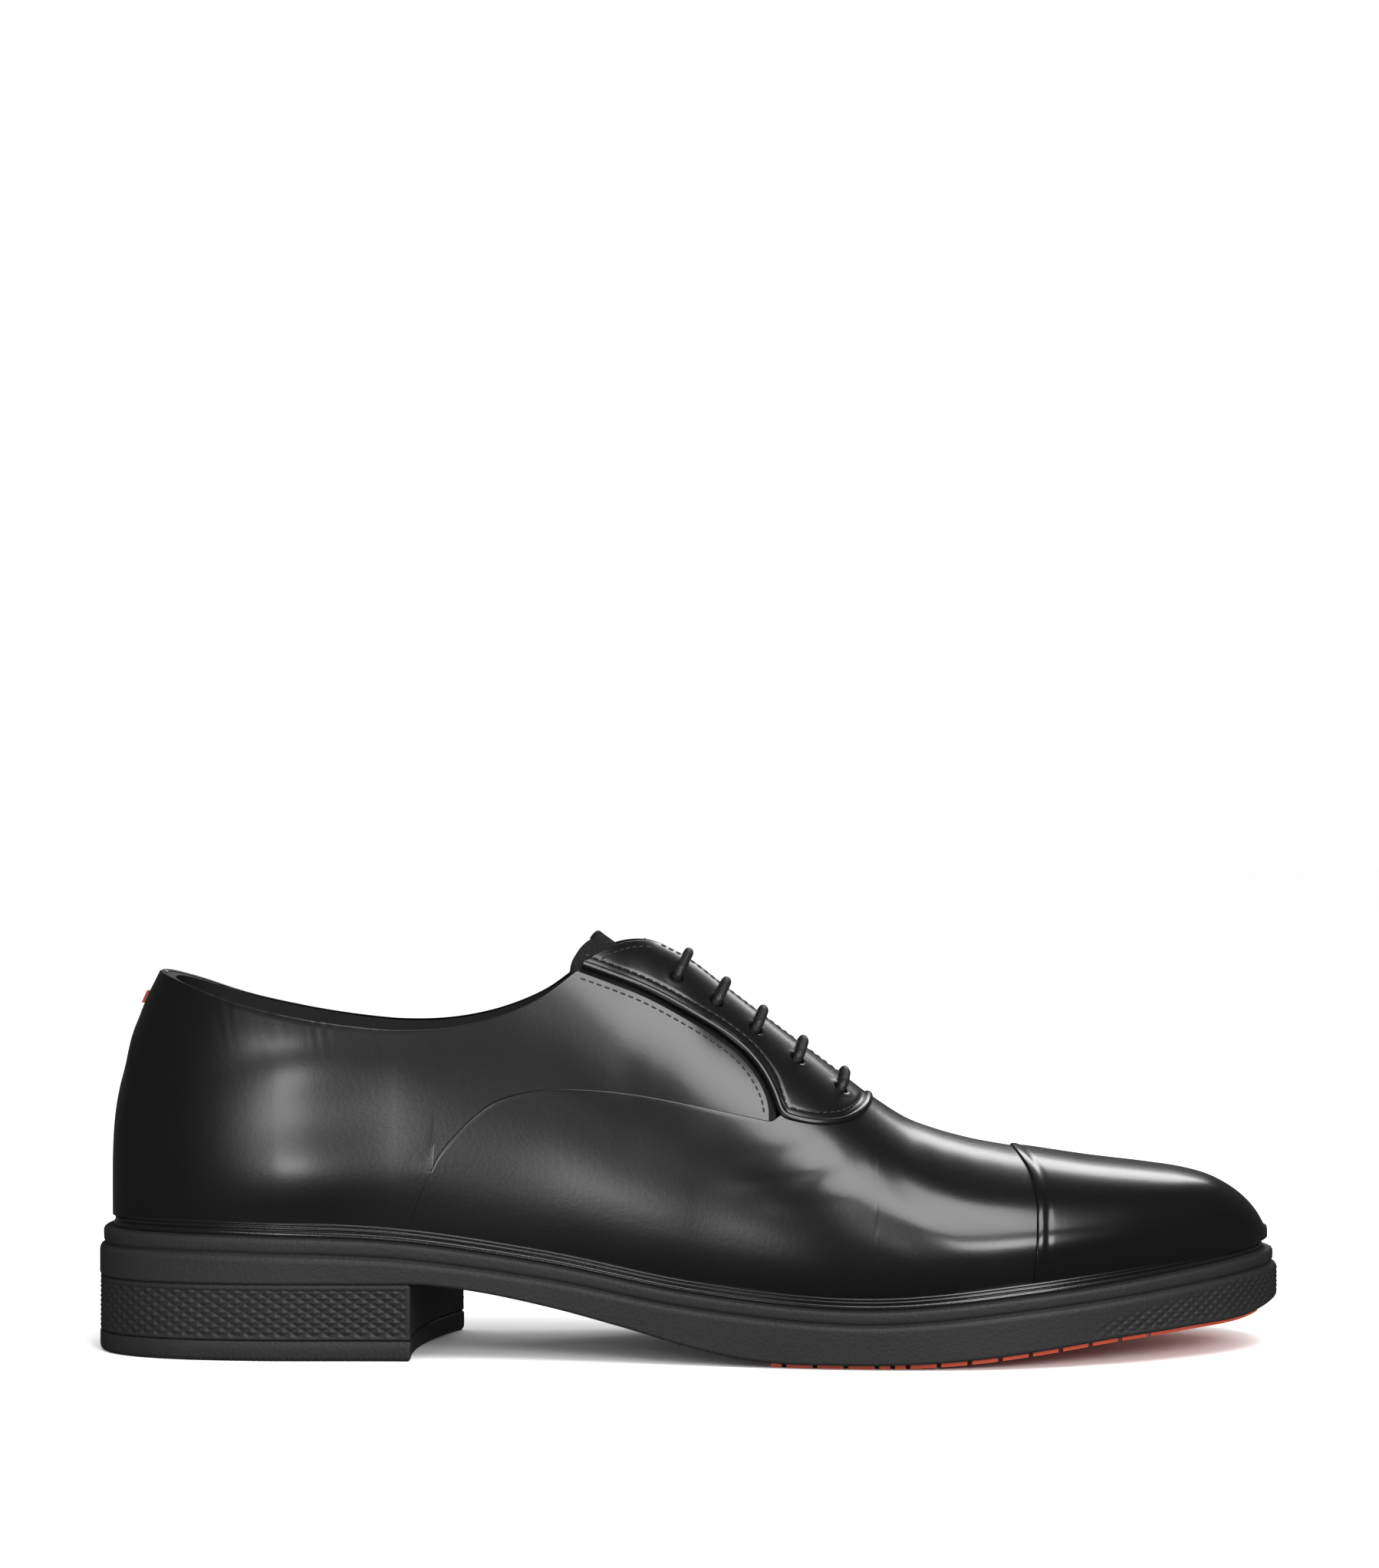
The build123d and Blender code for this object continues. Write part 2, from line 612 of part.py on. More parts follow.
def tread_top(x):
    """Upper face of the tread, sunk into the outsole."""
    return underside(x) + tread_seat


def tread_low(x):
    """Lower face of the lugs before they are levelled at the floor."""
    return underside(x) - tread_depth - tread_flat


full_outline = plan_slab(0.0, slab_low, slab_high)

rand_core = plan_slab(rand_margin + rand_width, 0.0, tool_high)
rand_ring = plan_slab(rand_margin, 5.0, slab_high) - rand_core
rand_band = band_tool(rand_bottom, feather)
welt_rand = finish(rand_ring & rand_band, "welt_rand")

tread_from = 20.0 * long_scale
tread_to = 146.0 * long_scale
pad_from = 115.0 * long_scale
pitch = 7.65 * long_scale
tread_margin = 3.0
notch = 1.2
notch_reach = 12.0
groove_seat = 0.3          # rubber left under the grooves across the middle
tread_plan = plan_slab(tread_margin, slab_low, slab_high)
tread_core = plan_slab(tread_margin + notch_reach, slab_low - 1, slab_high)
tread_pad = tread_plan & band_tool(tread_low, tread_top, tread_from, tread_to)
tread_pad = tread_pad - band_tool(level(tool_low), level(0.0))
with BuildPart() as notches:
    for x in np.arange(pad_from, tread_from + notch, -pitch):
        with Locations((float(x), 0, 0)):
            Box(notch, 2 * over, 60)
notch_band = band_tool(level(tool_low), underside)
tread_pad = tread_pad - ((notches.part & notch_band) - tread_core)
groove_band = band_tool(level(tool_low), lambda x: underside(x) - groove_seat)
tread_pad = tread_pad - (notches.part & groove_band)
tread_rear = finish(tread_pad & x_slab(-half_length, flex_x - notch / 2), "tread_rear")
tread_front = finish(tread_pad & x_slab(flex_x + notch / 2, half_length + 5), "tread_front")

tread_room = tread_plan & band_tool(level(tool_low), tread_top, tread_from, tread_to)
sole_lip = plan_slab(lip_margin, slab_low, slab_high) & band_tool(lip_bottom, rand_bottom)
sole_band = full_outline & band_tool(underside, lip_bottom)
outsole = finish(sole_lip + sole_band - tread_room, "outsole")

breast_from = (breast_lateral, -40 * wide_scale)
breast_to = (breast_medial, 36 * wide_scale)
with BuildPart() as breast_tool:
    with BuildSketch(Plane.XY.offset(slab_low)):
        with BuildLine():
            ThreePointArc(breast_from, (breast_middle, 2), breast_to)
            Polyline(breast_to, (breast_medial, over), (-2 * half_length, over),
                     (-2 * half_length, -over), (breast_lateral, -over), breast_from)
        make_face()
    extrude(amount=slab_high)
heel_plan = full_outline & breast_tool.part
heel_to = breast_medial + 3.0
heel_band = band_tool(level(top_piece_height), underside, x_to=heel_to)
heel_block = finish(heel_plan & heel_band, "heel_block")
top_piece_band = band_tool(level(0.0), level(top_piece_height), x_to=heel_to)
heel_top_piece = finish(heel_plan & top_piece_band, "heel_top_piece")

# ---------------------------------------------------------------- inside the shoe
def board_top(x):
    """Upper face of the insole board."""
    return feather(x) + board_thick


def footbed_top(x):
    """Upper face of the footbed foam."""
    return board_top(x) + footbed_thick


def sock_top(x):
    """Upper face of the sock."""
    return footbed_top(x) + sock_thick


insole_board = finish(above["lining"] & band_tool(feather, board_top), "insole_board")
footbed_layer = above["lining"] & band_tool(board_top, footbed_top)
cushion_front = -78.0 * long_scale
footbed = finish(footbed_layer & x_slab(cushion_front, half_length), "footbed")
heel_cushion = finish(footbed_layer & x_slab(-half_length, cushion_front), "heel_cushion")
sock = finish(above["lining"] & band_tool(footbed_top, sock_top), "sock")

shank_from = -108.0 * long_scale
shank_to = 6.0 * long_scale
shank_sink = 0.6           # cover over the shank


def shank_low(x):
    """Lower face of the shank."""
    return shank_high(x) - shank_thick


def shank_high(x):
    """Upper face of the shank."""
    return feather(x) - shank_sink


shank_band = band_tool(shank_low, shank_high, shank_from, shank_to)
with BuildPart() as shank_strip:
    Box(2 * half_length, shank_width, 2 * slab_high)
shank_shape = shank_band & shank_strip.part
shank = finish(shank_shape, "shank")
filler = finish((rand_core & rand_band) - shank_shape, "filler")
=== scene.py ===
"""Visual model of a right cap-toe oxford shoe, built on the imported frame."""

import json
import logging
import math
from dataclasses import dataclass
from enum import Enum
from typing import Callable, Optional, Sequence, Tuple

import bmesh
import bpy
import numpy as np
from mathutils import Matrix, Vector

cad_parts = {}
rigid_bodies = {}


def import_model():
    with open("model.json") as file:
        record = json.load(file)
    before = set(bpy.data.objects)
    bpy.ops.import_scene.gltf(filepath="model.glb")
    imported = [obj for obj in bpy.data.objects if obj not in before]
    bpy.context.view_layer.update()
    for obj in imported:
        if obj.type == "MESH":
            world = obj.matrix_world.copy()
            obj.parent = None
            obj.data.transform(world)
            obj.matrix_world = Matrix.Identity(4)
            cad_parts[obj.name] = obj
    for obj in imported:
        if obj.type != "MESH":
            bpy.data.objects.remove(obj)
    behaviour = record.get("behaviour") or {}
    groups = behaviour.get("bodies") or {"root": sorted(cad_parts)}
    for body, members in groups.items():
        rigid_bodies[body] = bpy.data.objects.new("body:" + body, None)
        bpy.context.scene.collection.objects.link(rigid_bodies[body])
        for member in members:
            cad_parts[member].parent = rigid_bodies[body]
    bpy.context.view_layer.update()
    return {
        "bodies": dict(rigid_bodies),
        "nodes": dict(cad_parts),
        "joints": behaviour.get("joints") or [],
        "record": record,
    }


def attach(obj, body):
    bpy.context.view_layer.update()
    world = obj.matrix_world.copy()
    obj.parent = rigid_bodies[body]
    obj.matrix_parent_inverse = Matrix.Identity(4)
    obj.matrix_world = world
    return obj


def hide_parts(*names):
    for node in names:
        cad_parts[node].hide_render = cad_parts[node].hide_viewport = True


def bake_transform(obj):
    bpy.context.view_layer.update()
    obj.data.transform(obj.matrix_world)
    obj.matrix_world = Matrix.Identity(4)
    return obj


LOG = logging.getLogger("oxford")
MM = 0.001
Array = np.ndarray
REAR = "rearfoot"
FORE = "forefoot"
WELD_DISTANCE = 2e-6


class Side(Enum):
    """The two sides of a right shoe."""

    LATERAL = -1
    MEDIAL = 1


# ------------------------------------------------------------------ the last
OUTLINE_ANGLE = [0, 10, 20, 30, 45, 60, 75, 90, 105, 120, 135, 150, 160, 170, 180]
LATERAL_HALF = [0, 13.5, 22.5, 28.5, 32.8, 33.4, 35.8, 42.0, 49.2, 49.6, 40.4, 25.4, 14.4, 3.6, -8]
MEDIAL_HALF = [0, 13.5, 22.2, 27.8, 31.0, 29.8, 30.0, 35.2, 46.4, 50.4, 45.0, 34.6, 27.6, 19.6, 8]
RIDGE_SHIFT = [0, 0, 0, 0, 0, 0, 0, 0, 0.5, 1.8, 3.4, 5.5, 6.9, 7.8, 8]
FEATHER = ([-153, -110, -75, -38, 0, 43, 86, 128, 153],
           [35.0, 34.5, 33.0, 27.8, 20.6, 17.2, 20.8, 25.4, 28.0])
UNDERSIDE = ([-153, -110, -80, -68, -58, -38, -16, 2, 13, 20, 26, 32, 38, 44, 52, 62, 75, 90,
              106, 125, 145, 153],
             [19.2, 19.2, 19.2, 19.2, 18.2, 14.5, 9.0, 4.1, 2.05, 1.3, 1.08, 1.06, 1.06, 1.09, 1.3,
              1.85, 3.0,
              4.8, 6.8, 8.4, 10.2, 12.7])
RIDGE = [(-149.2, 52), (-148.3, 62), (-147.1, 68), (-145.5, 74), (-144.2, 80), (-142, 86),
         (-140, 91), (-138, 95), (-136, 99), (-128, 111), (-115, 124), (-96, 133.5), (-75, 137),
         (-51, 130.5), (-31, 119), (-22, 112.6), (-16, 108.2), (-9, 104.5), (0, 99.6), (8, 93.4),
         (24, 81.2), (40, 69.2), (48, 63.2), (56, 58.2), (64, 55.2), (72, 53.0), (80, 51.4),
         (90, 49.8), (103, 47.8), (119, 45.8), (127, 44.6), (135, 42.4), (139, 40.4), (143, 37.5),
         (146, 34.2), (147.6, 31.6), (148.6, 29.6)]
HALF_LENGTH = 152.5
UPPER_HALF = 149.4
RIDGE_HALF = 149.3
UPPER_INSET = 4.2
SHELF = ([-150, -60, 0, 50, 150], [18, 15, 11, 8, 8])
FULLNESS = ([-150, -100, -40, 0, 40, 70, 150], [0.8, 0.85, 1.1, 1.22, 1.12, 1.0, 0.82])
TUCK_IN = 0.028
DEEPEST_TUCK = 1.2

TOPLINE = [(-145, 101), (-136, 96.6), (-128, 93.6), (-119, 90.3), (-103, 86.3), (-88, 83.8),
           (-74, 82.6), (-62, 83.2), (-48, 86.4), (-38, 90.8), (-28.9, 97.4)]
QUARTER_FRONT = [(-28.9, 97.4), (-24.1, 95.7), (-11, 90.5), (-2.4, 86), (6.4, 80.7),
                 (12.8, 75.7), (16.7, 70.8), (19, 66), (20, 60)]
VAMP_SEAM = [(-72, 5), (-71.6, 26), (-69.3, 38), (-66, 45.9), (-63.5, 51.2), (-59.3, 56.4),
             (-54.3, 61.2), (-49.7, 64.5), (-43.7, 66.6), (-36.4, 67.8), (-27, 67.8),
             (-14, 66.6), (0, 64.1), (20, 60)]
CAP_SEAM = [(85.2, 5), (85.3, 18), (86, 26.7), (86.5, 34.1), (86.8, 40.5), (86, 46.9),
            (82.8, 51.8), (78, 57)]
PIPING_REAR = [(-28.3, 98.8), (-23.5, 97.1), (-10.4, 91.8), (-1.7, 87.2), (7.2, 81.9),
               (13.8, 76.7), (18, 71.6), (20.6, 66.6), (22.4, 61.2)]
PIPING_TOE = [(22.4, 61.2), (29, 59.5), (35.3, 59), (40.2, 59.7), (45.1, 62.2), (47.8, 65.6),
              (50.5, 69)]
FACING_CREST = [(-30.0, 97.0), (-25.5, 100.6), (-21, 103.0), (-16, 104.4), (-11.5, 104.6), (-7.5, 103.7),
                (-3, 103.2)]
EYELETS = [(-3.5, 95.7), (6.6, 89.2), (16.6, 82.3), (27.2, 74.7), (38.4, 67.2)]


def hermite(value: Array, keys: Sequence[float], heights: Sequence[float]) -> Array:
    """Cubic Hermite curve through key heights, slopes by finite difference.

    Args:
        value: Where to read the curve.
        keys: Rising key positions.
        heights: Height at each key.

    Returns:
        The curve's height at each value, held constant past the ends.
    """
    k = np.asarray(keys, dtype=float)
    h = np.asarray(heights, dtype=float)
    slopes = np.gradient(h, k)
    v = np.asarray(value, dtype=float)
    i = np.clip(np.searchsorted(k, v) - 1, 0, len(k) - 2)
    span = k[i + 1] - k[i]
    t = np.clip((v - k[i]) / span, 0.0, 1.0)
    return ((2 * t**3 - 3 * t**2 + 1) * h[i] + (t**3 - 2 * t**2 + t) * span * slopes[i]
            + (3 * t**2 - 2 * t**3) * h[i + 1] + (t**3 - t**2) * span * slopes[i + 1])


def angle_at(x: Array, half: float = UPPER_HALF) -> Array:
    """Station angle in degrees of a lengthwise position in millimetres."""
    return np.degrees(np.arccos(np.clip(-np.asarray(x, dtype=float) / half, -1, 1)))


def station_x(angle: Array, half: float = UPPER_HALF) -> Array:
    """Lengthwise position in millimetres of a station angle in degrees."""
    return -half * np.cos(np.radians(angle))


def half_width(angle: Array, side: Array) -> Array:
    """Half width of the plan outline at a station angle, on either side."""
    return np.where(side < 0, hermite(angle, OUTLINE_ANGLE, LATERAL_HALF),
                    hermite(angle, OUTLINE_ANGLE, MEDIAL_HALF))


def bell(value: Array, centre: float, width: float) -> Array:
    """Bell curve: 1 at the centre, 1/e one width away."""
    return np.exp(-((value - centre) / width) ** 2)


def feather(x: Array) -> Array:
    """Height of the line where the upper meets the rand."""
    return hermite(x, *FEATHER)


def underside(x: Array) -> Array:
    """Height of the outsole's lower face."""
    return hermite(x, *UNDERSIDE)


def ridge(x: Array) -> Array:
    """Height of the upper's centre line, closed over the opening."""
    keys = [float(angle_at(px, RIDGE_HALF)) for px, _ in RIDGE]
    return hermite(angle_at(x, RIDGE_HALF), keys, [pz for _, pz in RIDGE])


def section(angle: Array, side: Array) -> Tuple[Array, ...]:
    """Values of the cross-section at a station angle.

    Args:
        angle: Station angle, 0 at the heel and 180 at the toe.
        side: -1 on the lateral side, +1 on the medial side.

    Returns:
        Lengthwise position, top, widest height, feather height, half width,
        centre offset and fullness power.
    """
    x = station_x(angle)
    centre = hermite(angle, OUTLINE_ANGLE, RIDGE_SHIFT)
    half = half_width(angle, side)
    inward = UPPER_INSET * np.sqrt(np.clip(np.sin(np.radians(angle)), 0, 1))
    width = np.maximum(side * (side * half - centre) - inward, 0.02)
    top = ridge(x)
    low = feather(x)
    shelf = hermite(x, *SHELF)
    widest = low + np.minimum(shelf, 0.5 * (top - low))
    power = hermite(x, *FULLNESS)
    return x, top, widest, low, width, centre, power


def skin_point(angle: Array, rise: Array, side: Array) -> Array:
    """Outer surface of the upper.

    The half section is y = W cos(a)^m and z = widest + (top - widest) sin(a)
    above the widest height, and draws in by 2.8 % down to the feather line.

    Args:
        angle: Station angle in degrees.
        rise: -1 at the feather line, 0 at the widest height, 1 on the ridge.
        side: -1 lateral, +1 medial.

    Returns:
        Points in millimetres, one per input.
    """
    angle, rise, side = np.broadcast_arrays(angle, rise, side)
    x, top, widest, low, width, centre, power = section(angle, side)
    arch = np.clip(rise, 0, 1) * math.pi / 2
    tuck = np.clip(-rise, 0, DEEPEST_TUCK)
    reach = np.where(rise > 0, np.clip(np.cos(arch), 0, 1) ** power, 1 - TUCK_IN * tuck**2)
    z = np.where(rise > 0, widest + (top - widest) * np.sin(arch), widest - tuck * (widest - low))
    return np.stack([x, centre + side * width * reach, z], axis=-1)


def unit(v: Array) -> Array:
    """Vectors scaled to length one."""
    return v / np.maximum(np.linalg.norm(v, axis=-1, keepdims=True), 1e-9)


def skin_frame(angle: Array, rise: Array, side: Array) -> Tuple[Array, Array]:
    """Points of the outer surface and their outward normals."""
    angle, rise, side = np.broadcast_arrays(np.asarray(angle, float), np.asarray(rise, float), side)
    point = skin_point(angle, rise, side)
    lo, hi = np.clip(angle - 0.15, 0.05, 179.9), np.clip(angle + 0.15, 0.1, 179.95)
    along = skin_point(hi, rise, side) - skin_point(lo, rise, side)
    r_lo, r_hi = np.clip(rise - 0.01, -1.2, 0.97), np.clip(rise + 0.01, -1.18, 0.99)
    up = skin_point(angle, r_hi, side) - skin_point(angle, r_lo, side)
    normal = unit(np.cross(along, up))
    return point, normal * -side[..., None]


def rise_at(x: Array, z: Array, side: int) -> Array:
    """Rise parameter of a side-view position."""
    _, top, widest, low, _, _, _ = section(angle_at(x), np.asarray(side))
    above = np.arcsin(np.clip((z - widest) / (top - widest), 0, 1)) * 2 / math.pi
    below = np.maximum((z - widest) / (widest - low), -1.15)
    return np.where(z > widest, above, below)


def arc_length(points: Array) -> Array:
    """Distance along a polyline at each of its points."""
    return np.concatenate([[0], np.cumsum(np.linalg.norm(np.diff(points, axis=0), axis=1))])


def read_at(distance: Array, along: Array, points: Array) -> Array:
    """A polyline's points read at distances along it, straight between its own."""
    return np.column_stack([np.interp(distance, along, column) for column in points.T])


def dense(points: Sequence[Tuple[float, float]], count: int = 240) -> Array:
    """A smooth curve through side-view points, sampled by chord length."""
    p = np.asarray(points, dtype=float)
    s = arc_length(p)
    t = np.linspace(0, s[-1], count)
    return np.column_stack([hermite(t, s, p[:, 0]), hermite(t, s, p[:, 1])])


def shifted(curve: Array, amount: float) -> Array:
    """A side-view curve moved to its left by amount."""
    along = unit(np.gradient(curve, axis=0))
    return curve + amount * np.column_stack([-along[:, 1], along[:, 0]])


def height_on(curve: Array, x: Array) -> Array:
    """Height of a side-view curve, sorted along the shoe, at x."""
    order = np.argsort(curve[:, 0])
    return np.interp(x, curve[order, 0], curve[order, 1])


# ------------------------------------------------------------------ meshes
def grid_faces(rows: int, cols: int, wrap_rows: bool = False, wrap_cols: bool = False) -> Array:
    """Quads of a rows by cols grid of vertices."""
    r = np.arange(rows if wrap_rows else rows - 1)
    c = np.arange(cols if wrap_cols else cols - 1)
    rr, cc = np.meshgrid(r, c, indexing="ij")
    r1, c1 = (rr + 1) % rows, (cc + 1) % cols
    return np.stack([rr * cols + cc, rr * cols + c1, r1 * cols + c1, r1 * cols + cc], -1).reshape(-1, 4)


def make_object(name: str, verts: Array, faces: Array, material: bpy.types.Material,
                weld: bool = False) -> bpy.types.Object:
    """Mesh object from millimetre vertices and quads.

    Args:
        name: Name of the piece.
        verts: Vertices, n by 3, in millimetres.
        faces: Quads, m by 4.
        material: Finish of the piece.
        weld: Whether coincident vertices are joined.

    Returns:
        The new object, linked to the scene.
    """
    mesh = bpy.data.meshes.new(name)
    mesh.vertices.add(len(verts))
    mesh.vertices.foreach_set("co", (np.asarray(verts) * MM).astype(np.float32).ravel())
    mesh.loops.add(len(faces) * 4)
    mesh.loops.foreach_set("vertex_index", np.asarray(faces, dtype=np.int32).ravel())
    mesh.polygons.add(len(faces))
    mesh.polygons.foreach_set("loop_start", np.arange(0, len(faces) * 4, 4, dtype=np.int32))
    mesh.polygons.foreach_set("use_smooth", np.full(len(faces), True))
    mesh.update(calc_edges=True)
    mesh.validate()
    if weld:
        work = bmesh.new()
        work.from_mesh(mesh)
        bmesh.ops.remove_doubles(work, verts=work.verts, dist=WELD_DISTANCE)
        work.to_mesh(mesh)
        work.free()
    mesh.materials.append(material)
    obj = bpy.data.objects.new(name, mesh)
    bpy.context.collection.objects.link(obj)
    LOG.info("%s: %d faces", name, len(mesh.polygons))
    return obj


@dataclass(frozen=True)
class Skirt:
    """Rounded edge of a leather panel: corner radius and depth it turns down."""

    radius: float = 0.5
    depth: float = 1.4
    steps: int = 4


def turn_down(points: Array, normals: Array, drop: Array, axis: int, end: int,
              skirt: Skirt, mask: Optional[Array] = None) -> Tuple[Array, Array, Array]:
    """Adds rounded rows past one edge of a grid.

    Each added row lies sin(t) radii outwards and (1 - cos(t)) radii down, and
    a last row drops straight to the skirt's depth.
    """
    p = np.moveaxis(points, axis, 0)
    n = np.moveaxis(normals, axis, 0)
    d = np.moveaxis(drop, axis, 0)
    edge, inner = (p[-1], p[-2]) if end else (p[0], p[1])
    edge_n, edge_d = (n[-1], d[-1]) if end else (n[0], d[0])
    out = unit(edge - inner)
    keep = np.ones(len(edge)) if mask is None else mask
    t = np.append(np.linspace(0, math.pi / 2, skirt.steps + 1)[1:], math.pi / 2)
    fall = skirt.radius * (1 - np.cos(t))
    fall[-1] = skirt.depth
    new_p = edge[None] + out[None] * (skirt.radius * np.sin(t))[:, None, None] * keep[None, :, None]
    new_d = edge_d[None] + fall[:, None] * keep[None]
    new_n = np.repeat(edge_n[None], len(t), axis=0)
    if end:
        p, n, d = np.concatenate([p, new_p]), np.concatenate([n, new_n]), np.concatenate([d, new_d])
    else:
        p = np.concatenate([new_p[::-1], p])
        n = np.concatenate([new_n[::-1], n])
        d = np.concatenate([new_d[::-1], d])
    return np.moveaxis(p, 0, axis), np.moveaxis(n, 0, axis), np.moveaxis(d, 0, axis)


def oriented(verts: Array, faces: Array, normals: Array) -> Array:
    """Faces turned, if needed, so that they agree with the given normals."""
    f = faces[len(faces) // 2]
    a, b, c = verts[f[0]], verts[f[1]], verts[f[2]]
    if np.dot(np.cross(b - a, c - b), normals[f[0]]) < 0:
        return faces[:, ::-1]
    return faces


def tube(path: Array, radius: Array, around: int, up: Optional[Array] = None,
         ratio: float = 1.0) -> Tuple[Array, Array]:
    """Tube along a path.

    Rings stand square to the path; with no up given, the frame is carried
    along by parallel transport.

    Args:
        path: Points, n by 3.
        radius: One radius per path point, or n by around for a relief.
        around: Vertices per ring.
        up: Direction of the section's second axis at each point.
        ratio: Height of the section over its width.

    Returns:
        Vertices and quads.
    """
    tangent = unit(np.gradient(path, axis=0))
    if up is None:
        frames = [unit(np.cross(tangent[0], [0.3, 0.5, 0.8]))]
        for i in range(1, len(path)):
            frames.append(unit(frames[-1] - tangent[i] * np.dot(frames[-1], tangent[i])))
        first = np.array(frames)
        second = np.cross(tangent, first)
    else:
        second = unit(up - tangent * np.sum(up * tangent, axis=1, keepdims=True))
        first = np.cross(second, tangent)
    theta = np.linspace(0, 2 * math.pi, around, endpoint=False)
    r = np.asarray(radius, dtype=float)
    r = np.repeat(r[:, None], around, axis=1) if r.ndim == 1 else r.copy()
    r[0], r[-1] = 0.02, 0.02
    ring = (first[:, None] * np.cos(theta)[None, :, None]
            + second[:, None] * (ratio * np.sin(theta))[None, :, None])
    verts = path[:, None] + ring * r[..., None]
    faces = grid_faces(len(path), around, wrap_cols=True)
    return verts.reshape(-1, 3), faces[:, ::-1]


def joined(parts: Sequence[Tuple[Array, Array]]) -> Tuple[Array, Array]:
    """Several meshes as one."""
    verts, faces, start = [], [], 0
    for v, f in parts:
        verts.append(v)
        faces.append(f + start)
        start += len(v)
    return np.concatenate(verts), np.concatenate(faces)


# ------------------------------------------------------------------ materials
class Sock:
    """A node socket with arithmetic, so that shader maths reads as formulas."""

    def __init__(self, tree: bpy.types.NodeTree, socket: bpy.types.NodeSocket) -> None:
        """Keeps the socket and the tree that it is in."""
        self.tree = tree
        self.socket = socket

    def _math(self, op: str, *others: "Sock | float", swap: bool = False) -> "Sock":
        """A Math node of one operation, with self first, or last when swapped."""
        node = self.tree.nodes.new("ShaderNodeMath")
        node.operation = op
        values = [*others, self] if swap else [self, *others]
        for i, value in enumerate(values):
            if isinstance(value, Sock):
                self.tree.links.new(value.socket, node.inputs[i])
            else:
                node.inputs[i].default_value = value
        return Sock(self.tree, node.outputs[0])

    def __add__(self, other: "Sock | float") -> "Sock":
        """self + other."""
        return self._math("ADD", other)

    __radd__ = __add__

    def __mul__(self, other: "Sock | float") -> "Sock":
        """self * other."""
        return self._math("MULTIPLY", other)

    __rmul__ = __mul__

    def __sub__(self, other: "Sock | float") -> "Sock":
        """self - other."""
        return self._math("SUBTRACT", other)

    def __rsub__(self, other: "Sock | float") -> "Sock":
        """other - self."""
        return self._math("SUBTRACT", other, swap=True)


class Shader:
    """Builder for one Principled material."""

    def __init__(self, name: str) -> None:
        """Starts a material with its Principled shader."""
        self.material = bpy.data.materials.new(name)
        self.material.use_nodes = True
        self.tree = self.material.node_tree
        self.bsdf = next(n for n in self.tree.nodes if n.type == "BSDF_PRINCIPLED")
        self.coords = self.node("ShaderNodeTexCoord").outputs["Object"]

    def node(self, kind: str, links: Optional[dict] = None, **values: object) -> bpy.types.Node:
        """A new node with attributes, socket values and links set."""
        made = self.tree.nodes.new(kind)
        for key, value in values.items():
            setattr(made, key, value)
        for key, value in (links or {}).items():
            if isinstance(value, Sock):
                self.tree.links.new(value.socket, made.inputs[key])
            elif isinstance(value, bpy.types.NodeSocket):
                self.tree.links.new(value, made.inputs[key])
            else:
                made.inputs[key].default_value = value
        return made

    def noise(self, scale: float, detail: float = 3.0, stretch: Tuple = (1, 1, 1)) -> Sock:
        """Noise over the object's own coordinates, scale per metre."""
        mapping = self.node("ShaderNodeMapping", {"Vector": self.coords, "Scale": stretch})
        made = self.node("ShaderNodeTexNoise", {"Vector": mapping.outputs[0], "Scale": scale,
                                                "Detail": detail})
        return Sock(self.tree, made.outputs["Fac"])

    def cells(self, scale: float) -> Sock:
        """Distance to the nearest cell point, scale per metre."""
        made = self.node("ShaderNodeTexVoronoi", {"Vector": self.coords, "Scale": scale})
        return Sock(self.tree, made.outputs["Distance"])

    def wave(self, scale: float, direction: str) -> Sock:
        """Fine parallel ribs across an axis, scale per metre."""
        made = self.node("ShaderNodeTexWave", {"Vector": self.coords, "Scale": scale},
                         bands_direction=direction)
        return Sock(self.tree, made.outputs["Fac"])

    def mix(self, factor: Sock, low: Sequence[float], high: Sequence[float]) -> bpy.types.NodeSocket:
        """Colour between low and high."""
        made = self.node("ShaderNodeMix", {0: factor, 6: (*low, 1), 7: (*high, 1)}, data_type="RGBA")
        return made.outputs[2]

    def put(self, socket: str, value: object) -> None:
        """Sets or links one input of the shader."""
        target = self.bsdf.inputs[socket]
        if isinstance(value, Sock):
            self.tree.links.new(value.socket, target)
        elif isinstance(value, bpy.types.NodeSocket):
            self.tree.links.new(value, target)
        else:
            target.default_value = value

    def bump(self, height: Sock, strength: float, distance: float) -> None:
        """Bumps the surface by a height pattern."""
        made = self.node("ShaderNodeBump", {"Height": height, "Strength": strength,
                                            "Distance": distance})
        self.put("Normal", made.outputs[0])


@dataclass(frozen=True)
class Finish:
    """One surface finish."""

    name: str
    slot: str
    color: Tuple[float, float, float]
    rough: float
    rough_spread: float = 0.05
    coat: float = 0.0
    coat_rough: float = 0.1
    specular: float = 0.5
    grain: float = 2500.0
    grain_height: float = 0.00004
    tint: float = 1.6
    weave: float = 0.0


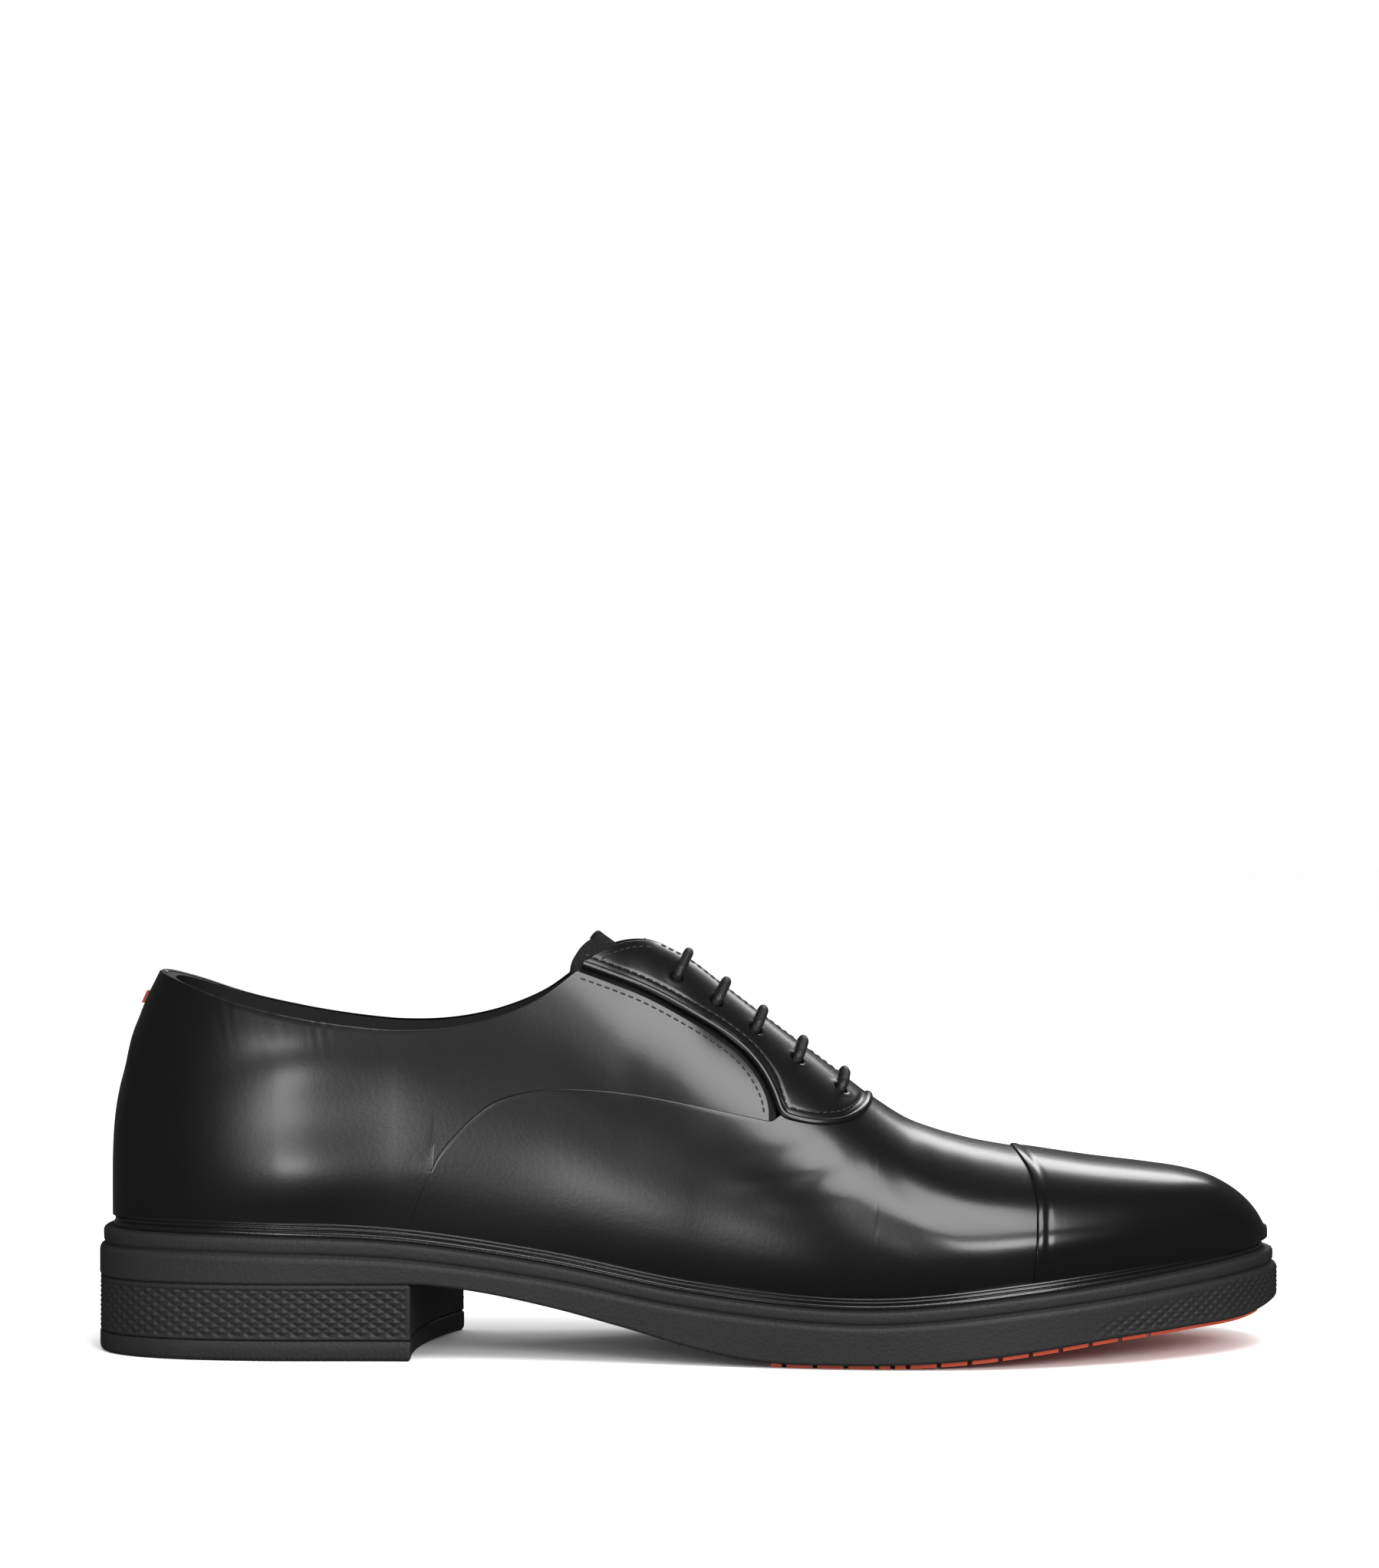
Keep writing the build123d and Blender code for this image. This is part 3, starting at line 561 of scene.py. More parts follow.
FINISHES = {f.name: f for f in (
    Finish("calf", "polished_leather", (0.0028, 0.0028, 0.0030), 0.27, 0.04, 0.12, 0.15,
           0.42, 1900, 0.00002),
    Finish("calf_cap", "polished_leather", (0.0025, 0.0025, 0.0027), 0.23, 0.03, 0.12, 0.12, 0.36, 1900,
           0.000015),
    Finish("lining", "lining_leather", (0.009, 0.0088, 0.0085), 0.55, specular=0.3, grain=1800,
           grain_height=0.00005),
    Finish("textile", "textile", (0.0065, 0.0065, 0.007), 0.85, specular=0.15, weave=900,
           grain_height=0.0002),
    Finish("backing", "backing", (0.30, 0.28, 0.25), 0.85, weave=900, grain_height=0.0001),
    Finish("fibre", "stiffener", (0.40, 0.33, 0.24), 0.8),
    Finish("cord", "lace_cord", (0.0075, 0.0075, 0.0075), 0.5, specular=0.4),
    Finish("thread", "lace_cord", (0.010, 0.010, 0.0105), 0.45, specular=0.5),
    Finish("rand", "rand_rubber", (0.0045, 0.0045, 0.0048), 0.20, 0.04, 0.15, 0.12, 0.45),
    Finish("sole", "sole_rubber", (0.0105, 0.0108, 0.0108), 0.55, 0.06, specular=0.28, grain=2200,
           grain_height=0.00022),
    Finish("tread", "tread_rubber", (0.42, 0.040, 0.006), 0.5, 0.05, grain=900, grain_height=0.00005),
    Finish("tab", "tab_thread", (0.22, 0.030, 0.006), 0.7),
    Finish("board", "board", (0.38, 0.29, 0.19), 0.85),
    Finish("foam", "foam", (0.06, 0.06, 0.065), 0.9),
    Finish("cork", "cork", (0.30, 0.18, 0.09), 0.85, grain=500, grain_height=0.0003, tint=2.6),
    Finish("steel", "steel", (0.5, 0.5, 0.51), 0.35),
    Finish("lacquer", "eyelet_metal", (0.012, 0.012, 0.012), 0.3),
)}


def build_material(finish: Finish) -> bpy.types.Material:
    """Principled material for one finish, with grain and slight wear."""
    shader = Shader(finish.name)
    cloud = shader.noise(38.0, 4.0)
    fine = shader.noise(finish.grain, 2.0)
    low = tuple(c / finish.tint ** 0.5 for c in finish.color)
    high = tuple(c * finish.tint ** 0.5 for c in finish.color)
    shader.put("Base Color", shader.mix(cloud * 0.7 + fine * 0.3, low, high))
    shader.put("Roughness", cloud * (2 * finish.rough_spread) + (finish.rough - finish.rough_spread))
    shader.put("Specular IOR Level", finish.specular)
    shader.put("Coat Weight", finish.coat)
    shader.put("Coat Roughness", finish.coat_rough)
    if finish.name == "steel":
        shader.put("Metallic", 1.0)
    if finish.weave:
        relief = shader.wave(finish.weave / 4, "X") + shader.wave(finish.weave / 4, "Z") + fine * 0.5
    else:
        relief = fine + shader.cells(finish.grain * 0.4) * 0.6
    shader.bump(relief, 0.5, finish.grain_height)
    return shader.material


# ------------------------------------------------------------------ upper
@dataclass
class Upper:
    """Leather panels, piping, stitches, tongue edge and lace, in millimetres."""

    mats: dict
    quarter_skirt: Skirt = Skirt(0.55, 1.5)
    vamp_skirt: Skirt = Skirt(0.45, 1.2)
    cap_skirt: Skirt = Skirt(0.5, 1.3)
    facing_skirt: Skirt = Skirt(0.5, 1.4)
    tongue_skirt: Skirt = Skirt(1.1, 2.4, 6)
    vamp_lift: float = 0.28
    cap_lift: float = 0.85
    facing_lift: float = 0.15
    slit_half: float = 1.0
    seam_depth: float = 0.14
    dimple_depth: float = 1.2
    collar_crease: float = 0.035
    heel_hollow: float = 0.38
    ball_fold: float = 0.15
    ball_sag: float = 0.20
    pucker: float = 0.03
    piping_inset: float = 0.75
    piping_lift: float = 0.15
    piping_radius: float = 1.0
    piping_ratio: float = 0.85
    stitch_inset: float = 3.0
    stitch_pitch: float = 2.15
    stitch_length: float = 1.65
    stitch_radius: float = 0.24
    stitch_sink: float = 0.16
    lace_radius: float = 1.2
    lace_clear: float = 0.2
    lace_step: float = 0.2
    lace_under: float = -4.5
    crown_reach: float = 5.2
    crown_clear: float = 0.25
    hole_bend: float = 1.9
    crown_bend: float = 9.0
    braid_pitch: float = 4.4
    tongue_inset: float = 5.4
    tongue_rim: float = 0.95
    rim_sink: float = 1.5

    def __post_init__(self) -> None:
        """Draws the panels' outlines."""
        self.topline = dense(TOPLINE)
        self.quarter_front = dense(QUARTER_FRONT)
        self.vamp_seam = dense(VAMP_SEAM)
        self.cap_seam = dense(CAP_SEAM)
        self.piping_rear = dense(PIPING_REAR)
        self.piping_toe = dense(PIPING_TOE)
        self.crest = dense(FACING_CREST)
        self.facing_low = np.concatenate([shifted(self.piping_rear, 1.5)[:-20],
                                          shifted(self.piping_toe, 1.5)[14:]])
        self.quarter_upper = np.concatenate([self.topline[:-1], self.quarter_front])
        self.vamp_upper = np.concatenate([self.vamp_seam[:-1], [(20.6, 60.2)],
                                          shifted(self.piping_toe, 0.4)])

    @staticmethod
    def columns(x_from: float, x_to: float, count: int) -> Array:
        """Station angles between two lengthwise positions."""
        return np.linspace(float(angle_at(x_from)), float(angle_at(x_to)), count)

    def panel(self, angles: Array, low: Array, high: Array, side: int, rows: int,
              lift: float, relief: Optional[Callable[[Array], Array]] = None) -> Tuple[Array, Array]:
        """Grid of a panel between two rise limits at each station."""
        t = np.linspace(0, 1, rows)[:, None]
        rise = low[None] + (high - low)[None] * t
        p, n = skin_frame(angles[None] + 0 * rise, rise, np.full(rise.shape, side))
        shift = np.full(rise.shape, lift) + (relief(p) if relief else 0)
        return p + n * shift[..., None], n

    def finish_panel(self, p: Array, n: Array, edges: Sequence[Tuple], skirt: Skirt) -> Tuple[Array, Array]:
        """Vertices and faces of a panel after its edges are turned down."""
        drop = np.zeros(p.shape[:2])
        for axis, end, mask in edges:
            p, n, drop = turn_down(p, n, drop, axis, end, skirt, mask)
        verts = (p - n * drop[..., None]).reshape(-1, 3)
        faces = grid_faces(*p.shape[:2])
        return verts, oriented(verts, faces, n.reshape(-1, 3))

    def creases(self, points: Array) -> Array:
        """Faint wrinkles below the topline and over the ball of the foot."""
        x, y, z = points[..., 0], points[..., 1], points[..., 2]
        collar = bell(x, -100, 26) * np.clip((z - 72) / 14, 0, 1) ** 2
        ripple = np.sin(x * 1.7 + 0.4 * z + 2.0 * np.sin(x * 0.33)) * (0.5 + 0.5 * np.sin(x * 0.47 + 1.0))
        hollow = bell(x, -96, 24) * np.clip((z - 26) / 14, 0, 1)
        hollow = hollow * np.cos(2 * math.pi * (z - 45 - 0.06 * (x + 96)) / 32)
        belly = bell(x, 62, 24) * bell(z, 40, 10)
        fold = np.sin(0.16 * x + 0.50 * z + 1.2 * np.sin(0.13 * x + np.sign(y)))
        sag = bell(x, 27, 14) * bell(z, 49, 8) * np.sin(0.20 * x - 0.6 * z)
        pucker = bell(x, 50, 18) * bell(z, 50, 6) * np.sin(0.75 * x + 0.35 * z)
        return (self.collar_crease * collar * ripple + self.heel_hollow * hollow
                + self.ball_fold * belly * fold + self.ball_sag * sag + self.pucker * pucker)

    def quarter(self, side: Side) -> bpy.types.Object:
        """One quarter, from the back seam to its folded front edge."""
        angles = np.concatenate([np.linspace(0.8, 30, 110), self.columns(-129.2, 19.6, 420)])
        x = station_x(angles)
        top_z = np.minimum(height_on(self.quarter_upper, x), ridge(x))
        low_z = np.maximum(feather(x) - 0.6, np.where(x > -71.9, height_on(self.vamp_seam, x) - 1.2, 0))
        low_z = np.minimum(low_z, top_z - 0.2)
        high = rise_at(x, top_z, side.value)
        low = rise_at(x, low_z, side.value)
        p, n = self.panel(angles, low, high, side.value, 110, 0.0, self.creases)
        verts, faces = self.finish_panel(p, n, [(0, 1, None)], self.quarter_skirt)
        name = f"quarter_{side.name.lower()}"
        obj = make_object(f"{name}_leather", verts, faces, self.mats["calf"], weld=True)
        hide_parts(name)
        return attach(obj, REAR)

    def vamp(self) -> bpy.types.Object:
        """The vamp, wings and throat, running under the toe cap."""
        halves = []
        angles = np.concatenate([self.columns(-71.8, -60, 90), self.columns(-59.9, 89, 420)])
        x = station_x(angles)
        for side in Side:
            meets = (x > 47.6) | (height_on(self.vamp_upper, x) >= ridge(x) - 0.05)
            top_z = np.where(meets, ridge(x) + 1, height_on(self.vamp_upper, x))
            high = rise_at(x, top_z, side.value)
            low = np.minimum(np.full_like(x, -1.06), high - 0.01)
            p, n = self.panel(angles, low, high, side.value, 120, self.vamp_lift, self.creases)
            verts, faces = self.finish_panel(p, n, [(0, 1, np.where(meets, 0.0, 1.0)), (1, 0, None)],
                                             self.vamp_skirt)
            halves.append((verts, faces))
        verts, faces = joined(halves)
        obj = make_object("vamp_leather", verts, faces, self.mats["calf"], weld=True)
        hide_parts("vamp")
        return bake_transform(obj)

    def toe_cap(self) -> bpy.types.Object:
        """The toe cap with its raised, folded rear edge."""
        rows = 130
        rise = np.concatenate([np.linspace(-1.06, 1, rows), np.linspace(1, -1.06, rows)[1:]])
        side = np.concatenate([np.full(rows, -1.0), np.full(rows - 1, 1.0)])
        start = np.full(len(rise), 86.0)
        for _ in range(6):
            z = skin_point(angle_at(start), rise, side)[:, 2]
            start = np.interp(z, self.cap_seam[:, 1], self.cap_seam[:, 0])
        t = np.linspace(0, 1, 230)[None]
        a0 = angle_at(start)[:, None]
        angles = a0 + (179.6 - a0) * t
        p, n = skin_frame(angles, rise[:, None] + 0 * angles, side[:, None] + 0 * angles)
        gap = (p[..., 0] - start[:, None])
        lift = self.cap_lift + 0.12 * bell(gap, 0.9, 0.7) - 0.10 * bell(gap, 2.4, 0.7)
        p = p + n * lift[..., None]
        verts, faces = self.finish_panel(p, n, [(1, 0, None)], self.cap_skirt)
        obj = make_object("toe_cap_leather", verts, faces, self.mats["calf_cap"], weld=True)
        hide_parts("toe_cap")
        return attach(obj, FORE)

    def on_skin(self, curve: Array, side: Side, lift: float) -> Tuple[Array, Array]:
        """A side-view curve laid on the surface."""
        rise = rise_at(curve[:, 0], curve[:, 1], side.value)
        p, n = skin_frame(angle_at(curve[:, 0]), rise, np.full(len(curve), side.value))
        return p + n * lift, n

    def facing_row(self, inset: float) -> Array:
        """Side-view line running inside the facing's lower edge."""
        rear = shifted(self.piping_rear, inset)
        toe = shifted(self.piping_toe, inset)
        toe = toe[toe[:, 1] < ridge(toe[:, 0]) - 0.6]
        rear = rear[(rear[:, 0] < toe[0, 0] + 0.5)]
        order = np.concatenate([rear[:-12], toe[8:]])
        s = arc_length(order)
        t = np.linspace(0, s[-1], 400)
        return read_at(t, s, order)

    def facing(self, side: Side) -> bpy.types.Object:
        """One facing, with dimples at the lace holes and a sunk stitch line."""
        angles = self.columns(-26.6, 45.9, 330)
        x = station_x(angles)
        _, _, _, _, width, _, power = section(angles, np.full_like(angles, side.value))
        slit = np.arccos(np.clip((self.slit_half / width) ** (1 / power), 0, 1)) * 2 / math.pi
        crest = rise_at(x, height_on(self.crest, x), side.value)
        low = rise_at(x, height_on(self.facing_low, x), side.value)
        high = np.maximum(np.minimum(slit, crest), low + 0.004)
        seam, _ = self.on_skin(self.facing_row(self.stitch_inset), side, 0.0)
        holes = np.array([self.hole(row, side)[0] for row in EYELETS])

        def relief(points: Array) -> Array:
            """Height added: a groove along the seam and a dimple at each hole."""
            flat = points.reshape(-1, 3)
            near = np.full(len(flat), 99.0)
            for chunk in np.array_split(seam, 20):
                near = np.minimum(near, np.min(np.linalg.norm(flat[:, None] - chunk[None], axis=2), axis=1))
            hole = np.min(np.linalg.norm(flat[:, None] - holes[None], axis=2), axis=1)
            depth = -self.seam_depth * bell(near, 0, 0.6) - self.dimple_depth * np.exp(-(hole / 1.5) ** 4)
            depth += 0.06 * bell(hole, 2.6, 0.9)
            return depth.reshape(points.shape[:-1])

        p, n = self.panel(angles, low, high, side.value, 130, self.facing_lift, relief)
        verts, faces = self.finish_panel(p, n, [(0, 1, None), (0, 0, None)], self.facing_skirt)
        name = f"facing_{side.name.lower()}"
        obj = make_object(f"{name}_leather", verts, faces, self.mats["calf"], weld=True)
        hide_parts(name)
        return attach(obj, REAR)

    def piping(self) -> bpy.types.Object:
        """Piping round the facings, in one run from tip to tip."""
        rear = shifted(self.piping_rear, self.piping_inset)
        toe = shifted(self.piping_toe, self.piping_inset)
        toe = toe[(toe[:, 1] < ridge(toe[:, 0]) - 0.02)]
        curve = np.concatenate([rear[:-8], toe[5:]])
        lateral, up_l = self.on_skin(curve, Side.LATERAL, self.piping_lift)
        medial, up_m = self.on_skin(curve, Side.MEDIAL, self.piping_lift)
        path = np.concatenate([lateral, medial[::-1]])
        up = np.concatenate([up_l, up_m[::-1]])
        s = arc_length(path)
        t = np.linspace(0, s[-1], 900)
        path, up = read_at(t, s, path), read_at(t, s, up)
        kernel = np.ones(15) / 15
        smooth = np.column_stack([np.convolve(np.pad(path[:, i], 7, "edge"), kernel, "valid")
                                  for i in range(3)])
        verts, faces = tube(smooth, np.full(len(smooth), self.piping_radius), 16, up, self.piping_ratio)
        obj = make_object("facing_piping_bead", verts, faces, self.mats["calf"])
        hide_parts("facing_piping")
        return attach(obj, REAR)

    def stitches(self) -> bpy.types.Object:
        """Stitch rows on the facings and along the quarters' front edges."""
        parts = []
        front = shifted(self.quarter_front, -1.25)[4:-4]
        crest = shifted(self.crest, -1.6)
        crest = crest[(crest[:, 0] > -23.0) & (crest[:, 0] < -9.5)]
        for side in Side:
            for curve, lift in ((self.facing_row(self.stitch_inset), 0.16), (front, 0.06), (crest, 0.24)):
                path, up = self.on_skin(curve, side, lift)
                parts.append(self.stitch_row(path, up))
            parts.append(self.stitch_row(*self.slit_row(side, 2.3, 0.2)))
        verts, faces = joined(parts)
        obj = make_object("stitching", verts, faces, self.mats["thread"])
        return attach(obj, REAR)

    def slit_row(self, side: Side, aside: float, lift: float) -> Tuple[Array, Array]:
        """Line on the facing beside the slit, aside from the middle."""
        angles = self.columns(-8.0, 42.0, 300)
        _, _, _, _, width, _, power = section(angles, np.full_like(angles, side.value))
        rise = np.arccos(np.clip((aside / width) ** (1 / power), 0, 1)) * 2 / math.pi
        p, n = skin_frame(angles, rise, np.full(len(angles), side.value))
        return p + n * lift, n

    def stitch_row(self, path: Array, up: Array) -> Tuple[Array, Array]:
        """Short thread bars laid end to end along a line on the surface."""
        s = arc_length(path)
        pitch, thick = self.stitch_pitch, self.stitch_radius
        mid = np.arange(pitch / 2, s[-1] - pitch / 2, pitch)
        at, ahead = read_at(mid, s, path), read_at(mid + 0.4, s, path)
        normal = unit(read_at(mid, s, up))
        along = unit(ahead - at)
        across = np.cross(normal, along)
        u = np.linspace(-1, 1, 7)
        theta = np.linspace(0, 2 * math.pi, 6, endpoint=False)
        swell = np.sqrt(np.clip(1 - u**4, 0.002, 1))
        body = (along[:, None, None] * (u * self.stitch_length / 2)[None, :, None, None]
                + across[:, None, None] * (thick * swell[:, None] * np.cos(theta))[None, ..., None]
                + normal[:, None, None] * (thick * swell[:, None] * np.sin(theta)
                                           - self.stitch_sink * u[:, None] ** 4)[None, ..., None])
        verts = (at[:, None, None] + body).reshape(-1, 3)
        one = grid_faces(len(u), len(theta), wrap_cols=True)
        faces = (one[None] + (np.arange(len(mid)) * len(u) * len(theta))[:, None, None]).reshape(-1, 4)
        return verts, faces

    # -------------------------------------------------------------- lace
    @staticmethod
    def hole(row: Tuple[float, float], side: Side, height: float = 0.0) -> Tuple[Array, Array]:
        """Point at a height over a lace hole, and the normal there."""
        x, z = row
        p, n = skin_frame(np.array([float(angle_at(x))]), rise_at(np.array([x]), np.array([z]), side.value),
                          np.array([side.value]))
        return p[0] + n[0] * height, n[0]

    def lace_corners(self) -> Tuple[Array, Array]:
        """Corner points of the lace's centre line and the bend at each."""
        points, bends = [], []
        side = Side.LATERAL
        under, over = self.lace_under, self.lace_radius + self.lace_clear
        for row in EYELETS:
            other = Side.MEDIAL if side is Side.LATERAL else Side.LATERAL
            rise = float(ridge(row[0])) - row[1]
            mid_x = row[0] + 0.5 * rise
            top = float(ridge(mid_x)) + self.lace_radius + self.crown_clear
            crown = [np.array([mid_x, way * side.value * self.crown_reach, top]) for way in (1, -1)]
            points += [self.hole(row, side, under)[0], self.hole(row, side, over)[0], *crown,
                       self.hole(row, other, over)[0], self.hole(row, other, under)[0]]
            bends += 2 * [self.hole_bend] + 2 * [self.crown_bend] + 2 * [self.hole_bend]
            side = other
        first = self.hole((EYELETS[0][0] - 9, EYELETS[0][1] + 3.8), Side.LATERAL, under)[0]
        last = self.hole((EYELETS[-1][0] + 6, EYELETS[-1][1] - 4.5), side, under)[0]
        return np.array([first, *points, last]), np.array(bends)

    @staticmethod
    def rounded(corners: Array, bends: Array, step: float) -> Array:
        """Polyline with tangent arcs of the given radii at its inner corners."""
        runs = [corners[:1]]
        for i, radius in enumerate(bends, start=1):
            a, b, c = corners[i - 1], corners[i], corners[i + 1]
            u, v = unit(a - b), unit(c - b)
            half = math.acos(float(np.clip(np.dot(u, v), -1, 1))) / 2
            back = min(radius / math.tan(half), 0.48 * np.linalg.norm(a - b), 0.48 * np.linalg.norm(c - b))
            r = back * math.tan(half)
            centre = b + unit(u + v) * (r / math.sin(half))
            start, finish = b + u * back, b + v * back
            sweep = math.pi - 2 * half
            t = np.linspace(0, 1, max(4, int(sweep * r / step)))[:, None]
            e0, e1 = unit(start - centre), unit(finish - centre)
            arc = (np.sin((1 - t) * sweep) * e0 + np.sin(t * sweep) * e1) / math.sin(sweep)
            runs.append(centre + unit(arc) * r)
        runs.append(corners[-1:])
        rough = np.concatenate(runs)
        s = arc_length(rough)
        keep = np.concatenate([[True], np.diff(s) > 1e-6])
        t = np.arange(0, s[-1], step)
        return read_at(t, s[keep], rough[keep])

    def lace(self) -> bpy.types.Object:
        """Round braided lace in its five bars, with the links beneath."""
        path = self.rounded(*self.lace_corners(), self.lace_step)
        s = np.arange(len(path)) * self.lace_step
        around = 28
        theta = np.linspace(0, 2 * math.pi, around, endpoint=False)[None]
        twist = s[:, None] * 2 * math.pi / self.braid_pitch
        strands = np.maximum(np.sin(4 * theta + 4 * twist), np.sin(4 * theta - 4 * twist))
        verts, faces = tube(path, self.lace_radius * (0.95 + 0.075 * strands), around)
        obj = make_object("lace_braid", verts, faces, self.mats["cord"])
        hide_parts("lace")
        LOG.info("lace length %.1f mm", s[-1])
        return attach(obj, REAR)

    # -------------------------------------------------------------- tongue
    def tongue_top(self) -> bpy.types.Object:
        """Padded textile top of the tongue with its rolled binding."""
        rows = 70
        rise = np.concatenate([np.linspace(0.56, 1, rows), np.linspace(1, 0.56, rows)[1:]])
        side = np.concatenate([np.full(rows, -1.0), np.full(rows - 1, 1.0)])
        edge = dense([(-28.4, 84), (-29.2, 92), (-29.5, 97), (-28.6, 100.6), (-26.6, 103.2), (-24.2, 104.9),
                      (-21.6, 105.7), (-18, 106.4)])
        start = np.full(len(rise), -22.0)
        for _ in range(14):
            p, n = skin_frame(angle_at(start), rise, side)
            base = p - n * self.tongue_inset
            start = start + 0.6 * (np.interp(base[:, 2], edge[:, 1], edge[:, 0]) - base[:, 0])
        t = np.linspace(0, 1, 70)[None]
        a0 = angle_at(start)[:, None]
        angles = a0 + (float(angle_at(-4)) - a0) * t
        p, n = skin_frame(angles, rise[:, None] + 0 * angles, side[:, None] + 0 * angles)
        base = p - n * self.tongue_inset
        verts, faces = self.finish_panel(base, n, [(1, 0, None)], self.tongue_skirt)
        rim = base[:, 0] - n[:, 0] * self.rim_sink
        rim_s = arc_length(rim)
        even = np.linspace(0, rim_s[-1], 160)
        rim = read_at(even, rim_s, rim)
        verts, faces = joined([(verts, faces), tube(rim, np.full(len(rim), self.tongue_rim), 14)])
        obj = make_object("tongue_top_textile", verts, faces, self.mats["textile"])
        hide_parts("tongue_top")
        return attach(obj, REAR)

    def build(self) -> None:
        """Builds every piece of the upper."""
        for side in Side:
            self.quarter(side)
            self.facing(side)
        self.vamp()
        self.toe_cap()
        self.piping()
        self.stitches()
        self.lace()
        self.tongue_top()


# ------------------------------------------------------------------ sole
@dataclass
class Sole:
    """Rand, outsole and heel, swept round the plan outline, in millimetres."""

    mats: dict
    edge_points: int = 2000
    heel_points: int = 1150
    band_rows: int = 34
    band_knurl: Tuple[float, float] = (3.4, 2.3)
    band_knurl_height: float = 0.55
    heel_knurl: Tuple[float, float] = (4.0, 2.45)
    heel_knurl_height: float = 0.62
    knurl_top: float = 18.1
    knurl_low: float = 5.9
    knurl_rows: int = 66
    breast_lateral: float = -70.0
    breast_medial: float = -59.5
    breast_bow: float = 3.6
    tooth_pitch: float = 1.5
    tooth_depth: float = 0.3

    def __post_init__(self) -> None:
        """Works out the sole's edge, its outward normals and its middle line."""
        angle = np.concatenate([np.linspace(0, 180, 1600), np.linspace(180, 0, 1600)[1:-1]])
        side = np.concatenate([np.full(1600, -1.0), np.full(1598, 1.0)])
        loop = np.column_stack([station_x(angle, HALF_LENGTH), side * half_width(angle, side)])
        self.edge, self.out = self.even_loop(loop, self.edge_points)
        centre = 0.5 * (hermite(angle_at(self.edge[:, 0], HALF_LENGTH), OUTLINE_ANGLE, MEDIAL_HALF)
                        - hermite(angle_at(self.edge[:, 0], HALF_LENGTH), OUTLINE_ANGLE, LATERAL_HALF))
        self.spine = np.column_stack([self.edge[:, 0], centre])

    @staticmethod
    def even_loop(loop: Array, count: int) -> Tuple[Array, Array]:
        """A closed plan loop at even steps, with outward plan normals."""
        closed = np.vstack([loop, loop[:1]])
        s = arc_length(closed)
        t = np.linspace(0, s[-1], count, endpoint=False)
        even = read_at(t, s, closed)
        along = unit(np.roll(even, -3, axis=0) - np.roll(even, 3, axis=0))
        return even, np.column_stack([along[:, 1], -along[:, 0]])

    def ring(self, profile: Sequence[Tuple[float, Array]]) -> Array:
        """Rows of points, each a given way outside the edge at a given height."""
        rows = []
        for offset, z in profile:
            xy = self.edge + self.out * (offset if np.isscalar(offset) else offset[:, None])
            rows.append(np.column_stack([xy, z * np.ones(len(xy))]))
        return np.array(rows)

    def swept(self, name: str, rows: Array, material: str) -> bpy.types.Object:
        """Closed ring mesh from rows of points."""
        faces = grid_faces(rows.shape[0], rows.shape[1], wrap_cols=True)
        verts = rows.reshape(-1, 3)
        out = np.column_stack([np.tile(self.out, (rows.shape[0], 1)), np.zeros(len(verts))])
        middle = (rows.shape[0] // 2) * rows.shape[1]
        picked = faces[middle]
        a, b, c = verts[picked[0]], verts[picked[1]], verts[picked[2]]
        if np.dot(np.cross(b - a, c - b), out[picked[0]]) < 0:
            faces = faces[:, ::-1]
        return make_object(name, verts, faces, self.mats[material])

    def rand(self) -> bpy.types.Object:
        """Glossy grooved bead at the feather line."""
        f, deep = feather(self.edge[:, 0]), self.deepening()
        shape = [(-7.5, -0.4), (-5.4, 0.2), (-4.75, 0.28), (-4.3, 0.12), (-4.02, -0.15), (-4.05, -0.42),
                 (-4.5, -0.6), (-4.1, -0.78), (-3.92, -1.05), (-3.96, -1.32), (-4.5, -1.5), (-4.05, -1.66),
                 (-3.72, -1.95), (-3.6, -2.35), (-3.66, -2.75), (-3.9, -3.1), (-4.4, -3.4)]
        rows = self.ring([(o, f + d * deep) for o, d in shape])
        obj = self.swept("welt_rand_bead", rows, "rand")
        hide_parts("welt_rand")
        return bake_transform(obj)

    def deepening(self) -> Array:
        """How much taller rand and lip are at the heel than at the ball."""
        return hermite(self.edge[:, 0], [-153, -85, -20, 153], [1.16, 1.16, 1.0, 1.0])

    @staticmethod
    def knurl(s: Array, z: Array, wide: float, high: float) -> Array:
        """Diamond pyramids: the lower of two crossed saw-tooth ramps, 0 to 1."""
        a = np.abs((s / wide + z / high) % 1.0 - 0.5)
        b = np.abs((s / wide - z / high) % 1.0 - 0.5)
        return 1 - 2 * np.maximum(a, b)

